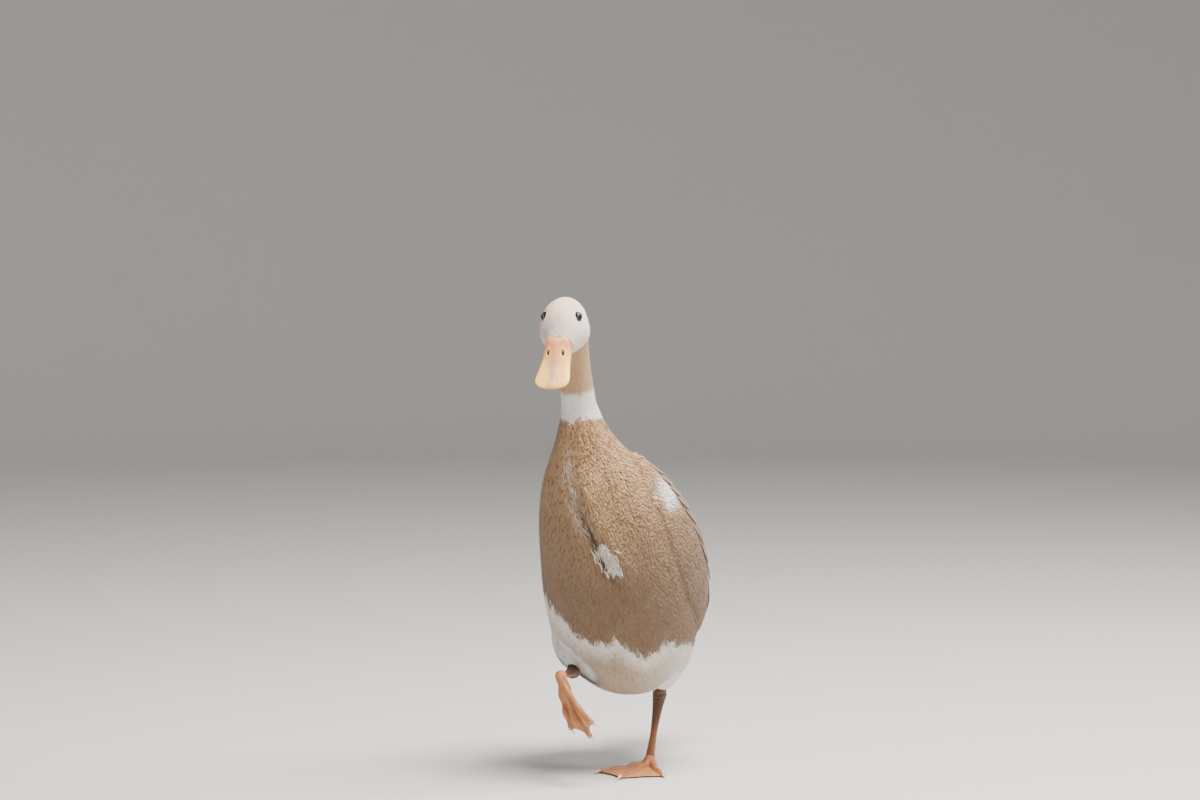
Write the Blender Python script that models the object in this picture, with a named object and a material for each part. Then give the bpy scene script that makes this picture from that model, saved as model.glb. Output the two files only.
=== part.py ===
"""A life-size Indian runner duck, fawn and white, walking with its right foot lifted.

Metres, +Z up. The duck looks along -Y and its own left side is +X. The origin lies on the
floor under the toe joint of the left foot, which carries the bird.
"""

import math

import bmesh
import bpy
import numpy as np
from mathutils import Matrix, Vector

GAP = 0.0003
WING_GAP = 0.0006

# Trunk stations from the neck to the vent: side, forward, up, half width, back depth, breast depth.
TORSO_STATIONS = (
    (-0.0245, 0.119, 0.383, 0.0190, 0.0175, 0.0190),
    (-0.0210, 0.113, 0.352, 0.0320, 0.0240, 0.0290),
    (-0.0170, 0.101, 0.318, 0.0530, 0.0400, 0.0470),
    (-0.0130, 0.083, 0.280, 0.0690, 0.0570, 0.0660),
    (-0.0115, 0.060, 0.238, 0.0780, 0.0720, 0.0790),
    (-0.0135, 0.038, 0.195, 0.0810, 0.0800, 0.0840),
    (-0.0165, 0.016, 0.155, 0.0765, 0.0820, 0.0810),
    (-0.0180, -0.006, 0.122, 0.0590, 0.0700, 0.0620),
    (-0.0180, -0.024, 0.100, 0.0340, 0.0440, 0.0320),
    (-0.0180, -0.034, 0.088, 0.0040, 0.0050, 0.0040),
)
TORSO_RINGS = 27
TORSO_SIDES = 36

# Neck stations upwards: side, forward, up, radius.
NECK_STATIONS = (
    (-0.0245, 0.119, 0.383, 0.0185),
    (-0.0257, 0.124, 0.405, 0.0170),
    (-0.0257, 0.131, 0.430, 0.0164),
    (-0.0240, 0.140, 0.450, 0.0172),
    (-0.0205, 0.153, 0.465, 0.0182),
    (-0.0165, 0.172, 0.470, 0.0150),
)
NECK_RINGS = 11
NECK_SIDES = 20

# The point midway between the eyes, and how the head is turned and bowed.
HEAD_AT = (-0.0140, 0.183, 0.479)
HEAD_TURN = math.radians(13)
HEAD_BOW = math.radians(46)
# Head stations forwards from the eyes: ahead, centre height, half width, above, below.
HEAD_STATIONS = (
    (-0.0300, -0.0100, 0.0040, 0.0040, 0.0040),
    (-0.0270, -0.0100, 0.0100, 0.0090, 0.0090),
    (-0.0180, -0.0140, 0.0193, 0.0205, 0.0195),
    (-0.0060, -0.0140, 0.0230, 0.0270, 0.0245),
    (0.0060, -0.0130, 0.0232, 0.0260, 0.0255),
    (0.0160, -0.0120, 0.0197, 0.0210, 0.0230),
    (0.0240, -0.0120, 0.0155, 0.0155, 0.0185),
    (0.0300, -0.0125, 0.0132, 0.0125, 0.0140),
)
HEAD_RINGS = 18
HEAD_SIDES = 28

EYE_RADIUS = 0.0052
EYE_SIDE = 0.0148
LID_RADIUS = 0.0044
LID_THICK = 0.0010
LID_STEPS = 20
LID_SIDES = 6

# Bill stations: ahead of the eyes, half width, ridge height, edge height, chin height.
BILL_STATIONS = (
    (0.0304, 0.0133, -0.0005, -0.0215, -0.0265),
    (0.0360, 0.0135, -0.0040, -0.0213, -0.0262),
    (0.0450, 0.0143, -0.0090, -0.0208, -0.0256),
    (0.0550, 0.0156, -0.0135, -0.0205, -0.0248),
    (0.0640, 0.0170, -0.0163, -0.0205, -0.0240),
    (0.0700, 0.0165, -0.0178, -0.0207, -0.0236),
    (0.0745, 0.0126, -0.0190, -0.0210, -0.0228),
    (0.0768, 0.0040, -0.0200, -0.0212, -0.0222),
)
BILL_RINGS = 16
BILL_SIDES = 16
MOUTH_GAP = 0.0005
LOWER_BILL_INSET = 0.0016
NOSTRIL_AT = (0.0410, 0.0064, -0.0068)
NOSTRIL_SIZE = (0.0012, 0.0027, 0.0026)

# The folded wing on the trunk: t, upper edge and lower edge in degrees from the back.
WING_PAD = (
    (0.18, 54.0, 74.0),
    (0.24, 36.0, 92.0),
    (0.33, 26.0, 99.0),
    (0.44, 20.0, 102.0),
    (0.54, 17.0, 99.0),
    (0.61, 17.0, 92.0),
)
WING_THICKNESS = 0.0080
WING_EDGE = 0.0014
WING_ROWS = 10
WING_COLUMNS = 9

# Flight feathers and coverts: how many, width, and how far a tilted blade leans.
FLIGHT_THICKNESS = 0.0007
TIP_THINNING = 0.45
BLADE_STEPS = 5
WING_TIER = 6
PRIMARY_WIDTH = 0.017
PRIMARY_STACK = 0.00095
SECONDARY_WIDTH = 0.024
COVERT_WIDTH = 0.027
BLADE_TILT = 0.085

TAIL_AT = (-0.0150, -0.050, 0.154)
TAIL_SLOPE = math.radians(-15)
# Tail root stations: behind, half width, above, below.
TAIL_STATIONS = (
    (-0.010, 0.0300, 0.0150, 0.0380),
    (0.010, 0.0270, 0.0125, 0.0330),
    (0.030, 0.0205, 0.0085, 0.0220),
    (0.050, 0.0130, 0.0045, 0.0105),
    (0.062, 0.0050, 0.0020, 0.0040),
)
TAIL_RINGS = 11
TAIL_SIDES = 18
# Each fan of tail feathers: pairs, length, root, lift, spread in degrees, width.
RECTRICES = (5, 0.090, 0.030, 0.0, 17, 0.017)
TAIL_COVERTS = (3, 0.062, 0.012, 0.0050, 15, 0.020)
TAIL_STACK = 0.00105
TAIL_CURL = 0.004

# Standing leg and lifted leg: points are side, forward, up.
LEFT_HOCK = (0.0045, -0.015, 0.075)
LEFT_KNEE = (0.0310, 0.010, 0.160)
LEFT_TOES = (0.0000, 0.0, 0.0085)
RIGHT_HOCK = (-0.0530, 0.076, 0.108)
RIGHT_KNEE = (-0.0615, 0.046, 0.156)
RIGHT_TOES = (-0.0385, 0.135, 0.113)
THIGH_RADII = (0.0072, 0.0140, 0.0260, 0.0325, 0.0335)
SHANK_RADII = (0.0052, 0.0060, 0.0072, 0.0052, 0.0035, 0.0041, 0.0050)
PALM_RADIUS = 0.0060
SOLE_HEIGHT = 0.0045
SOLE_RADIUS = 0.0075
MIDDLE_TOE = 0.074
INNER_TOE = 0.062
OUTER_TOE = 0.058
CLAW = 0.0085
CLAW_RADIUS = 0.0021
TOE_RADIUS = 0.0036
TOE_JOINTS = 3
WEB_THICKNESS = 0.0014
WEB_HEIGHT = 0.0017
HIND_TOE_RADIUS = 0.0030
ANKLE_RISE = 0.0055
STANDING_SPLAY = (-32.0, 38.0)
LIFTED_SPLAY = (-13.0, 13.0)
LIFTED_DROOP = (math.radians(-65), math.radians(-140))
LIFTED_HEADING = -0.20
LIFTED_LEAN = math.radians(25)

PALE_FAWN = (0.62, 0.47, 0.34)
FAWN = (0.50, 0.35, 0.23)
WHITE = (0.80, 0.78, 0.74)
BILL_YELLOW = (0.85, 0.62, 0.36)
LEG_ORANGE = (0.52, 0.26, 0.12)
BLACK = (0.01, 0.01, 0.01)


def clear_scene():
    for obj in list(bpy.data.objects):
        bpy.data.objects.remove(obj, do_unlink=True)


def material(name, colour, roughness=0.85):
    made = bpy.data.materials.new(name)
    made.use_nodes = True
    shader = made.node_tree.nodes["Principled BSDF"]
    shader.inputs["Base Color"].default_value = (*colour, 1.0)
    shader.inputs["Roughness"].default_value = roughness
    return made


def collection(name):
    made = bpy.data.collections.new(name)
    bpy.context.scene.collection.children.link(made)
    return made


def at(place):
    """Turns (side, forward, up) into a point of the frame."""
    return np.array((place[0], -place[1], place[2]))


def unit(vectors):
    return vectors / np.linalg.norm(vectors, axis=-1, keepdims=True)


def smooth(table, params):
    """Reads a table of stations at params from 0 to 1, on a cubic through every row."""
    rows = np.array(table, float)
    last = len(rows) - 1
    slopes = np.gradient(rows, axis=0)
    place = np.clip(np.asarray(params, float) * last, 0, last)
    low = np.minimum(place.astype(int), last - 1)
    step = (place - low)[..., None]
    start, end = rows[low], rows[low + 1]
    rise, fall = slopes[low], slopes[low + 1]
    square, cube = step**2, step**3
    return (
        (2 * cube - 3 * square + 1) * start
        + (cube - 2 * square + step) * rise
        + (3 * square - 2 * cube) * end
        + (cube - square) * fall
    )


def solid(name, verts, faces):
    mesh = bpy.data.meshes.new(name)
    mesh.from_pydata([tuple(v) for v in verts], [], faces)
    work = bmesh.new()
    work.from_mesh(mesh)
    bmesh.ops.recalc_face_normals(work, faces=work.faces)
    work.to_mesh(mesh)
    work.free()
    made = bpy.data.objects.new(name, mesh)
    bpy.context.scene.collection.objects.link(made)
    return made


def loft(name, rings):
    """A closed skin over rings of points, with a fan of triangles over each end ring."""
    rings = np.asarray(rings)
    count, sides = rings.shape[:2]
    verts = list(rings.reshape(-1, 3)) + [rings[0].mean(axis=0), rings[-1].mean(axis=0)]
    first, last = count * sides, count * sides + 1
    faces = []
    for side in range(sides):
        after = (side + 1) % sides
        for ring in range(count - 1):
            low, high = ring * sides, (ring + 1) * sides
            faces.append((low + side, low + after, high + after, high + side))
        faces.append((first, after, side))
        end = (count - 1) * sides
        faces.append((last, end + side, end + after))
    return solid(name, verts, faces)


def tube_rings(points, radii, sides, flat=1.0):
    """Rings across a path, each an ellipse whose height is flat times its width."""
    points = np.asarray(points, float)
    along = unit(np.gradient(points, axis=0))
    side = unit(np.cross(along, np.where(np.abs(along[:, 2:]) > 0.9, (0.0, 1.0, 0.0), (0.0, 0.0, 1.0))))
    up = np.cross(side, along)
    turn = np.linspace(0, 2 * np.pi, sides, endpoint=False)
    circle = side[:, None] * np.cos(turn)[:, None] + flat * up[:, None] * np.sin(turn)[:, None]
    return points[:, None] + np.asarray(radii)[:, None, None] * circle


def trunk(t, turn, lift=0.0):
    """A point on the trunk. Turn is measured from the back, positive to the duck's left."""
    t, turn = np.broadcast_arrays(np.asarray(t, float), np.asarray(turn, float))

    def surface(t, turn):
        row = smooth(TORSO_STATIONS, t)
        ahead = smooth(TORSO_STATIONS, np.minimum(t + 0.01, 1.0))
        behind = smooth(TORSO_STATIONS, np.maximum(t - 0.01, 0.0))
        centre = np.stack([row[..., 0], -row[..., 1], row[..., 2]], -1)
        rise = ahead[..., 2] - behind[..., 2]
        along = unit(np.stack([0 * rise, behind[..., 1] - ahead[..., 1], rise], -1))
        side = np.zeros_like(along)
        side[..., 0] = 1.0
        back = np.cross(side, along)
        depth = np.where(np.cos(turn) > 0, row[..., 4], row[..., 5])
        wide = np.sign(np.sin(turn)) * np.abs(np.sin(turn)) ** 0.94
        deep = np.sign(np.cos(turn)) * np.abs(np.cos(turn)) ** 0.94
        return centre + side * (row[..., 3] * wide)[..., None] + back * (depth * deep)[..., None]

    here = surface(t, turn)
    if np.ndim(lift) == 0 and lift == 0.0:
        return here
    down = surface(np.minimum(t + 0.004, 1), turn) - surface(np.maximum(t - 0.004, 0), turn)
    round_ = surface(t, turn + 0.02) - surface(t, turn - 0.02)
    out = unit(np.cross(round_, down))
    return here + out * np.asarray(lift)[..., None]


def trunk_normal(t, turn):
    return unit(trunk(t, turn, 0.001) - trunk(t, turn))


def torso(name, grow=0.0):
    t = np.linspace(0, 1, TORSO_RINGS)[:, None]
    turn = np.linspace(0, 2 * np.pi, TORSO_SIDES, endpoint=False)[None, :]
    return loft(name, trunk(t + 0 * turn, turn + 0 * t, np.full((TORSO_RINGS, TORSO_SIDES), grow)))


def join(name, pieces, helpers, solver="EXACT"):
    """Fuses closed pieces into one body and keeps its largest closed surface.

    The MANIFOLD solver takes what EXACT loses: dozens of thin blades, or a limb whose end
    lies deep inside the trunk.
    """
    joined = bpy.data.objects.new(name, pieces[0].data.copy())
    joined.matrix_world = pieces[0].matrix_world
    bpy.context.scene.collection.objects.link(joined)
    bag = bpy.data.collections.new(name + "_pieces")
    bpy.context.scene.collection.children.link(bag)
    for piece in pieces[1:]:
        for owner in piece.users_collection:
            owner.objects.unlink(piece)
        bag.objects.link(piece)
        piece.hide_render = True
        piece.display_type = "WIRE"
    if len(pieces) > 1:
        union = joined.modifiers.new("Join", "BOOLEAN")
        union.operation = "UNION"
        union.operand_type = "COLLECTION"
        union.collection = bag
        union.solver = solver
    for number, helper in enumerate(helpers):
        cut = joined.modifiers.new(f"Cut {number}", "BOOLEAN")
        cut.operation = "DIFFERENCE"
        cut.object = helper
        cut.solver = solver
    bpy.context.view_layer.update()
    graph = bpy.context.evaluated_depsgraph_get()
    mesh = bpy.data.meshes.new_from_object(joined.evaluated_get(graph))
    joined.modifiers.clear()
    joined.data = largest_surface(mesh)
    for piece in list(pieces) + list(helpers):
        bpy.data.objects.remove(piece, do_unlink=True)
    bpy.data.collections.remove(bag)
    return joined


def largest_surface(mesh):
    work = bmesh.new()
    work.from_mesh(mesh)
    bmesh.ops.remove_doubles(work, verts=work.verts, dist=1e-6)
    bmesh.ops.dissolve_degenerate(work, edges=work.edges, dist=1e-6)
    bmesh.ops.triangulate(work, faces=work.faces)
    waiting = set(work.faces)
    groups = []
    while waiting:
        found = [waiting.pop()]
        for face in found:
            for edge in face.edges:
                for other in edge.link_faces:
                    if other in waiting:
                        waiting.discard(other)
                        found.append(other)
        groups.append(found)
    groups.sort(key=lambda group: sum(face.calc_area() for face in group))
    loose = [face for group in groups[:-1] for face in group]
    bmesh.ops.delete(work, geom=loose, context="FACES")
    work.to_mesh(mesh)
    work.free()
    return mesh


def finish(obj, look, parts, angle=40):
    obj.data.materials.clear()
    obj.data.materials.append(look)
    obj.data.shade_smooth()
    obj.data.set_sharp_from_angle(angle=math.radians(angle))
    for owner in list(obj.users_collection):
        owner.objects.unlink(obj)
    parts.objects.link(obj)


def head_matrix():
    turn = Matrix.Rotation(HEAD_TURN, 4, "Z")
    bow = Matrix.Rotation(HEAD_BOW, 4, "X")
    return Matrix.Translation(Vector(at(HEAD_AT))) @ turn @ bow


def in_head(points):
    """Turns points given as (side, -ahead, height) about the eyes into the frame."""
    matrix = np.array(head_matrix())
    points = np.asarray(points, float)
    return points @ matrix[:3, :3].T + matrix[:3, 3]


def head_rings(grow=0.0):
    rows = smooth(HEAD_STATIONS, np.linspace(0, 1, HEAD_RINGS))
    turn = np.linspace(0, 2 * np.pi, HEAD_SIDES, endpoint=False)
    ahead, centre, wide, above, below = (rows[:, k][:, None] for k in range(5))
    reach = np.where(np.cos(turn) > 0, above, below) + grow
    ahead = ahead + grow * np.linspace(-1, 1, HEAD_RINGS)[:, None]
    cheek = np.where(np.cos(turn) > 0, 1.0, 0.8)
    side = (wide + grow) * np.sign(np.sin(turn)) * np.abs(np.sin(turn)) ** cheek
    high = centre + reach * np.sign(np.cos(turn)) * np.abs(np.cos(turn)) ** 0.92
    return in_head(np.stack([side, -ahead + 0 * side, high], -1))


def ball(name, centre, radius, scale=(1, 1, 1), turn=None, segments=16):
    work = bmesh.new()
    bmesh.ops.create_uvsphere(work, u_segments=segments, v_segments=segments // 2, radius=radius)
    mesh = bpy.data.meshes.new(name)
    place = Matrix.Translation(Vector(centre)) @ (turn or Matrix.Identity(4)) @ Matrix.Diagonal((*scale, 1))
    bmesh.ops.transform(work, matrix=place, verts=work.verts)
    work.to_mesh(mesh)
    work.free()
    made = bpy.data.objects.new(name, mesh)
    bpy.context.scene.collection.objects.link(made)
    return made


def lid_ring(name, side):
    """A ring of skin round the eye, an oval a little longer than it is high."""
    turn = np.linspace(0, 2 * np.pi, LID_STEPS, endpoint=False)
    small = np.linspace(0, 2 * np.pi, LID_SIDES, endpoint=False)
    reach = LID_RADIUS + LID_THICK * np.cos(small)[None, :]
    ahead = reach * np.cos(turn)[:, None] * 1.08
    high = reach * np.sin(turn)[:, None] * 0.92
    out = EYE_SIDE + 0.0033 + LID_THICK * np.sin(small)[None, :] + 0 * ahead
    verts = in_head(np.stack([side * out, -ahead, high], -1)).reshape(-1, 3)
    faces = []
    for i in range(LID_STEPS):
        for j in range(LID_SIDES):
            a, b = i * LID_SIDES, ((i + 1) % LID_STEPS) * LID_SIDES
            faces.append((a + j, b + j, b + (j + 1) % LID_SIDES, a + (j + 1) % LID_SIDES))
    return solid(name, verts, faces)


def build_head(skin, eye_look, parts):
    pieces = [loft("head_core", head_rings())]
    sockets = []
    for name, side in (("left", 1), ("right", -1)):
        pieces.append(lid_ring("lid_" + name, side))
        centre = in_head((side * EYE_SIDE, 0, 0))
        sockets.append(ball("socket_" + name, centre, EYE_RADIUS + GAP))
        finish(ball("eye_" + name, centre, EYE_RADIUS), eye_look, parts)
    finish(join("head", pieces, sockets), skin, parts)


def bill_rings(upper):
    rows = smooth(BILL_STATIONS, np.linspace(0, 1, BILL_RINGS))
    ahead, wide, ridge, edge, chin = (rows[:, k][:, None] for k in range(5))
    half = BILL_SIDES // 2
    over = np.linspace(0, np.pi, half + 1)[None, :]
    back = np.linspace(np.pi, 2 * np.pi, half + 1)[None, 1:-1]
    if upper:
        lip = 0.15 * (ridge - edge)
        top = edge + lip + (ridge - edge - lip) * np.sin(over) ** 0.85
        under = edge + 0.25 * lip * np.sin(back)
        side = wide * np.cos(over)
        side_under = 0.96 * wide * np.cos(back)
        side = np.concatenate([side, side_under], 1)
        high = np.concatenate([top, under], 1)
    else:
        wide = wide - LOWER_BILL_INSET
        roof = edge - MOUTH_GAP - 0.0010
        top = roof + 0.0004 * np.sin(over)
        under = roof + (roof - chin) * np.sin(back)
        high = np.concatenate([top, under], 1)
        side = wide * np.concatenate([np.cos(over), 0.97 * np.cos(back)], 1)
    return in_head(np.stack([side, -ahead + 0 * side, high], -1))


def build_bill(look, parts):
    pits = []
    for side in (1, -1):
        ahead, across, high = NOSTRIL_AT
        centre = in_head((side * across, -ahead, high - 0.0006))
        turn = head_matrix().to_3x3().to_4x4()
        pits.append(ball(f"nostril_{side + 1}", centre, 1.0, NOSTRIL_SIZE, turn, 12))
    finish(join("bill_upper", [loft("bill_top", bill_rings(True))], pits), look, parts)
    finish(loft("bill_lower", bill_rings(False)), look, parts)


def build_neck(look, parts):
    rows = smooth(NECK_STATIONS, np.linspace(0, 1, NECK_RINGS))
    path = np.stack([rows[:, 0], -rows[:, 1], rows[:, 2]], -1)
    rings = tube_rings(path, rows[:, 3], NECK_SIDES)
    start = trunk(0.0, np.linspace(0, 2 * np.pi, NECK_SIDES, endpoint=False))
    across = np.cross(start[5] - start[0], start[10] - start[0])
    across = unit(across) * np.sign(across[2])
    rings[0] -= ((rings[0] - start[0]) @ across - GAP)[:, None] * across
    finish(join("neck", [loft("neck_core", rings)], [loft("head_room", head_rings(GAP))]), look, parts)


def vane(name, spine, outwards, across, widths, thickness):
    """A flat feather blade over a spine: three points across on each face, both faces cut alike."""
    widths = np.asarray(widths)[:, None]
    thin = np.asarray(thickness)[:, None] / 2
    rows = []
    for step in (-1, 0, 1):
        rows.append(spine + across * widths * step)
    top = np.stack([row + outwards * thin for row in rows], 1)
    low = np.stack([row - outwards * thin for row in rows], 1)
    count = len(spine)
    verts = np.concatenate([top.reshape(-1, 3), low.reshape(-1, 3)])
    under = count * 3
    faces = []
    for i in range(count - 1):
        for j in range(2):
            a, b, c, d = i * 3 + j, i * 3 + j + 1, i * 3 + j + 4, i * 3 + j + 3
            faces += [(a, b, c), (a, c, d)]
            faces += [(under + c, under + b, under + a), (under + d, under + c, under + a)]
        for j in (0, 2):
            a, b = i * 3 + j, i * 3 + 3 + j
            faces += [(a, b, under + b), (a, under + b, under + a)]
    for i in (0, (count - 1) * 3):
        for j in range(2):
            a, b = i + j, i + j + 1
            faces += [(a, b, under + b), (a, under + b, under + a)]
    return solid(name, verts, faces)


def blade_widths(width):
    """Half widths along a feather: narrow at the root, full, then a round tip."""
    s = np.linspace(0, 1, BLADE_STEPS)
    return 0.5 * width * np.minimum(0.55 + 1.5 * s, 1) * np.sqrt(np.maximum(1 - s**5, 0.05))


def trunk_vane(name, start, end, lifts, width, tilt):
    """A feather lying on the trunk from (t, turn) start to end, tilted like a roof tile."""
    s = np.linspace(0, 1, BLADE_STEPS)
    t = start[0] + (end[0] - start[0]) * s
    turn = start[1] + (end[1] - start[1]) * s
    lift = lifts[0] + (lifts[1] - lifts[0]) * s
    spine = trunk(t, turn, lift)
    out = trunk_normal(t, turn)
    along = unit(np.gradient(spine, axis=0))
    across = unit(np.cross(out, along))
    out = unit(np.cross(along, across))
    leaned = across * math.cos(tilt) + out * math.sin(tilt)
    out = out * math.cos(tilt) - across * math.sin(tilt)
    thick = FLIGHT_THICKNESS * (1 - TIP_THINNING * s)
    return vane(name, spine, out, leaned, blade_widths(width), thick)


def wing_pad(name, side):
    """The shoulder and arm of the folded wing, a shell over the trunk that thins to its edges."""
    rows, columns = WING_ROWS, WING_COLUMNS
    along = np.linspace(0, 1, rows)
    table = smooth(WING_PAD, along)
    share = np.linspace(0, 1, columns)
    t = table[:, :1] + 0 * share
    turn = np.radians(table[:, 1:2] + (table[:, 2:3] - table[:, 1:2]) * share)
    bulge = np.abs(np.sin(np.pi * share)) ** 0.55
    long = np.sin(np.pi * (0.02 + 0.80 * along)) ** 0.45
    high = WING_GAP + WING_EDGE + (WING_THICKNESS - WING_EDGE) * long[:, None] * bulge
    outer = trunk(t, side * turn, high)
    inner = trunk(t, side * turn, np.full_like(high, WING_GAP))
    verts = np.concatenate([outer.reshape(-1, 3), inner.reshape(-1, 3)])
    under = rows * columns
    faces = []
    for i in range(rows - 1):
        for j in range(columns - 1):
            a, b = i * columns + j, (i + 1) * columns + j
            faces.append((a, a + 1, b + 1, b))
            faces.append((under + a, under + b, under + b + 1, under + a + 1))
        for j in (0, columns - 1):
            a, b = i * columns + j, (i + 1) * columns + j
            faces.append((a, b, under + b, under + a))
    for i in (0, rows - 1):
        for j in range(columns - 1):
            a = i * columns + j
            faces.append((a, a + 1, under + a + 1, under + a))
    return solid(name, verts, faces)


def build_wing(name, side, look, parts, vanes=True):
    pieces = [wing_pad(name + "_pad", side)]
    if vanes:
        for tier in (primaries, secondaries, coverts):
            pieces += tier(name, side)
    finish(join(name, pieces, [], "MANIFOLD"), look, parts)


def primaries(name, side):
    """Long quills from the wrist to the rump, each laid a little above the one before."""
    made = []
    for k in range(WING_TIER):
        share = k / (WING_TIER - 1)
        start = (0.52, side * math.radians(76 - 30 * share))
        end = (0.75 - 0.05 * share, side * math.radians(30 - 12 * share))
        low = WING_GAP + PRIMARY_STACK * (k + 1)
        lifts = (low, low + 0.0008)
        made.append(trunk_vane(f"{name}_primary_{k}", start, end, lifts, PRIMARY_WIDTH, 0.0))
    return made


def secondaries(name, side):
    """Broad quills over the primaries, each leaning over its lower neighbour."""
    made = []
    lifts = (0.0020, 0.0086)
    for k in range(WING_TIER):
        share = k / (WING_TIER - 1)
        start = (0.50, side * math.radians(92 - 62 * share))
        end = (0.69 + 0.05 * share, side * math.radians(76 - 54 * share))
        blade = trunk_vane(f"{name}_secondary_{k}", start, end, lifts, SECONDARY_WIDTH, -side * BLADE_TILT)
        made.append(blade)
    return made


def coverts(name, side):
    """Short feathers over the roots of the secondaries."""
    made = []
    lifts = (0.0035, 0.0112)
    for k in range(WING_TIER):
        share = k / (WING_TIER - 1)
        start = (0.36, side * math.radians(91 - 56 * share))
        end = (0.55 + 0.03 * share, side * math.radians(87 - 55 * share))
        blade = trunk_vane(f"{name}_covert_{k}", start, end, lifts, COVERT_WIDTH, -side * BLADE_TILT)
        made.append(blade)
    return made


def tail_frame():
    slope = Matrix.Rotation(-TAIL_SLOPE, 4, "X")
    return Matrix.Translation(Vector(at(TAIL_AT))) @ slope


def in_tail(points):
    """Turns (side, behind, height) about the tail's root into the frame."""
    matrix = np.array(tail_frame())
    return np.asarray(points, float) @ matrix[:3, :3].T + matrix[:3, 3]


def build_tail(look, parts, vanes=True):
    rows = smooth(TAIL_STATIONS, np.linspace(0, 1, TAIL_RINGS))
    turn = np.linspace(0, 2 * np.pi, TAIL_SIDES, endpoint=False)
    behind, wide, above, below = (rows[:, k][:, None] for k in range(4))
    high = np.cos(turn) * np.where(np.cos(turn) > 0, above, below)
    side = wide * np.sin(turn)
    pieces = [loft("tail_core", in_tail(np.stack([side, behind + 0 * side, high], -1)))]
    if vanes:
        pieces += tail_fan("rectrix", *RECTRICES)
        pieces += tail_fan("tail_covert", *TAIL_COVERTS)
    finish(join("tail", pieces, [torso("torso_room", GAP)], "MANIFOLD"), look, parts)


def tail_fan(name, pairs, length, root, lift, spread, width):
    """Blades either side of the middle, the outer ones lower, shorter and turned outwards."""
    made = []
    s = np.linspace(0, 1, BLADE_STEPS)
    turned = np.array(tail_frame())[:3, :3].T
    thick = FLIGHT_THICKNESS * (1 - TIP_THINNING * s)
    for k in range(pairs):
        for side in (1, -1):
            angle = side * math.radians(spread) * (k + 0.5) / pairs
            low = TAIL_STACK * (2 * k + (side < 0))
            reach = root + (length * (1 - 0.035 * k) - root) * s
            spine = np.stack(
                [
                    side * 0.0012 * k + reach * math.sin(angle),
                    reach * math.cos(angle),
                    lift + 2 * TAIL_STACK - low + TAIL_CURL * s**2,
                ],
                -1,
            )
            across = np.array([math.cos(angle), -math.sin(angle), 0.0]) + 0 * spine
            up = np.array([0.0, 0.0, 1.0]) + 0 * spine
            blade = (in_tail(spine), up @ turned, across @ turned, blade_widths(width), thick)
            made.append(vane(f"{name}_{k}_{side + 1}", *blade))
    return made


def leg_path(points, radii, name, sides=12, rings=12):
    """A round limb through points given as (side, forward, up), with a radius at each."""
    rows = smooth([(*at(p), r) for p, r in zip(points, radii)], np.linspace(0, 1, rings))
    return loft(name, tube_rings(rows[:, :3], rows[:, 3], sides))


def between(a, b, share):
    return tuple(np.array(a) * (1 - share) + np.array(b) * share)


def build_legs(feather, leather, parts):
    for name, knee, hock, toes in (
        ("left", LEFT_KNEE, LEFT_HOCK, LEFT_TOES),
        ("right", RIGHT_KNEE, RIGHT_HOCK, RIGHT_TOES),
    ):
        edge = between(hock, knee, 0.13)
        slope = unit(np.array(knee) - np.array(hock))
        low = tuple(np.array(edge) + slope * GAP)
        points = (low, between(low, knee, 0.2), between(low, knee, 0.5), between(low, knee, 0.8), knee)
        thigh = leg_path(points, THIGH_RADII, f"thigh_{name}_core")
        thigh = join(f"thigh_{name}", [thigh], [torso("torso_room", GAP)], "MANIFOLD")
        finish(thigh, feather, parts)
        points = (
            edge,
            between(hock, edge, 0.45),
            hock,
            between(hock, toes, 0.20),
            between(hock, toes, 0.55),
            between(hock, toes, 0.85),
            toes,
        )
        shank = leg_path(points, SHANK_RADII, f"shank_{name}_core", rings=18)
        palm = ball("palm_room", at(toes), PALM_RADIUS + GAP, segments=12)
        shank = join(f"shank_{name}", [shank], [palm, torso("torso_room", GAP)], "MANIFOLD")
        finish(shank, leather, parts)


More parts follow.
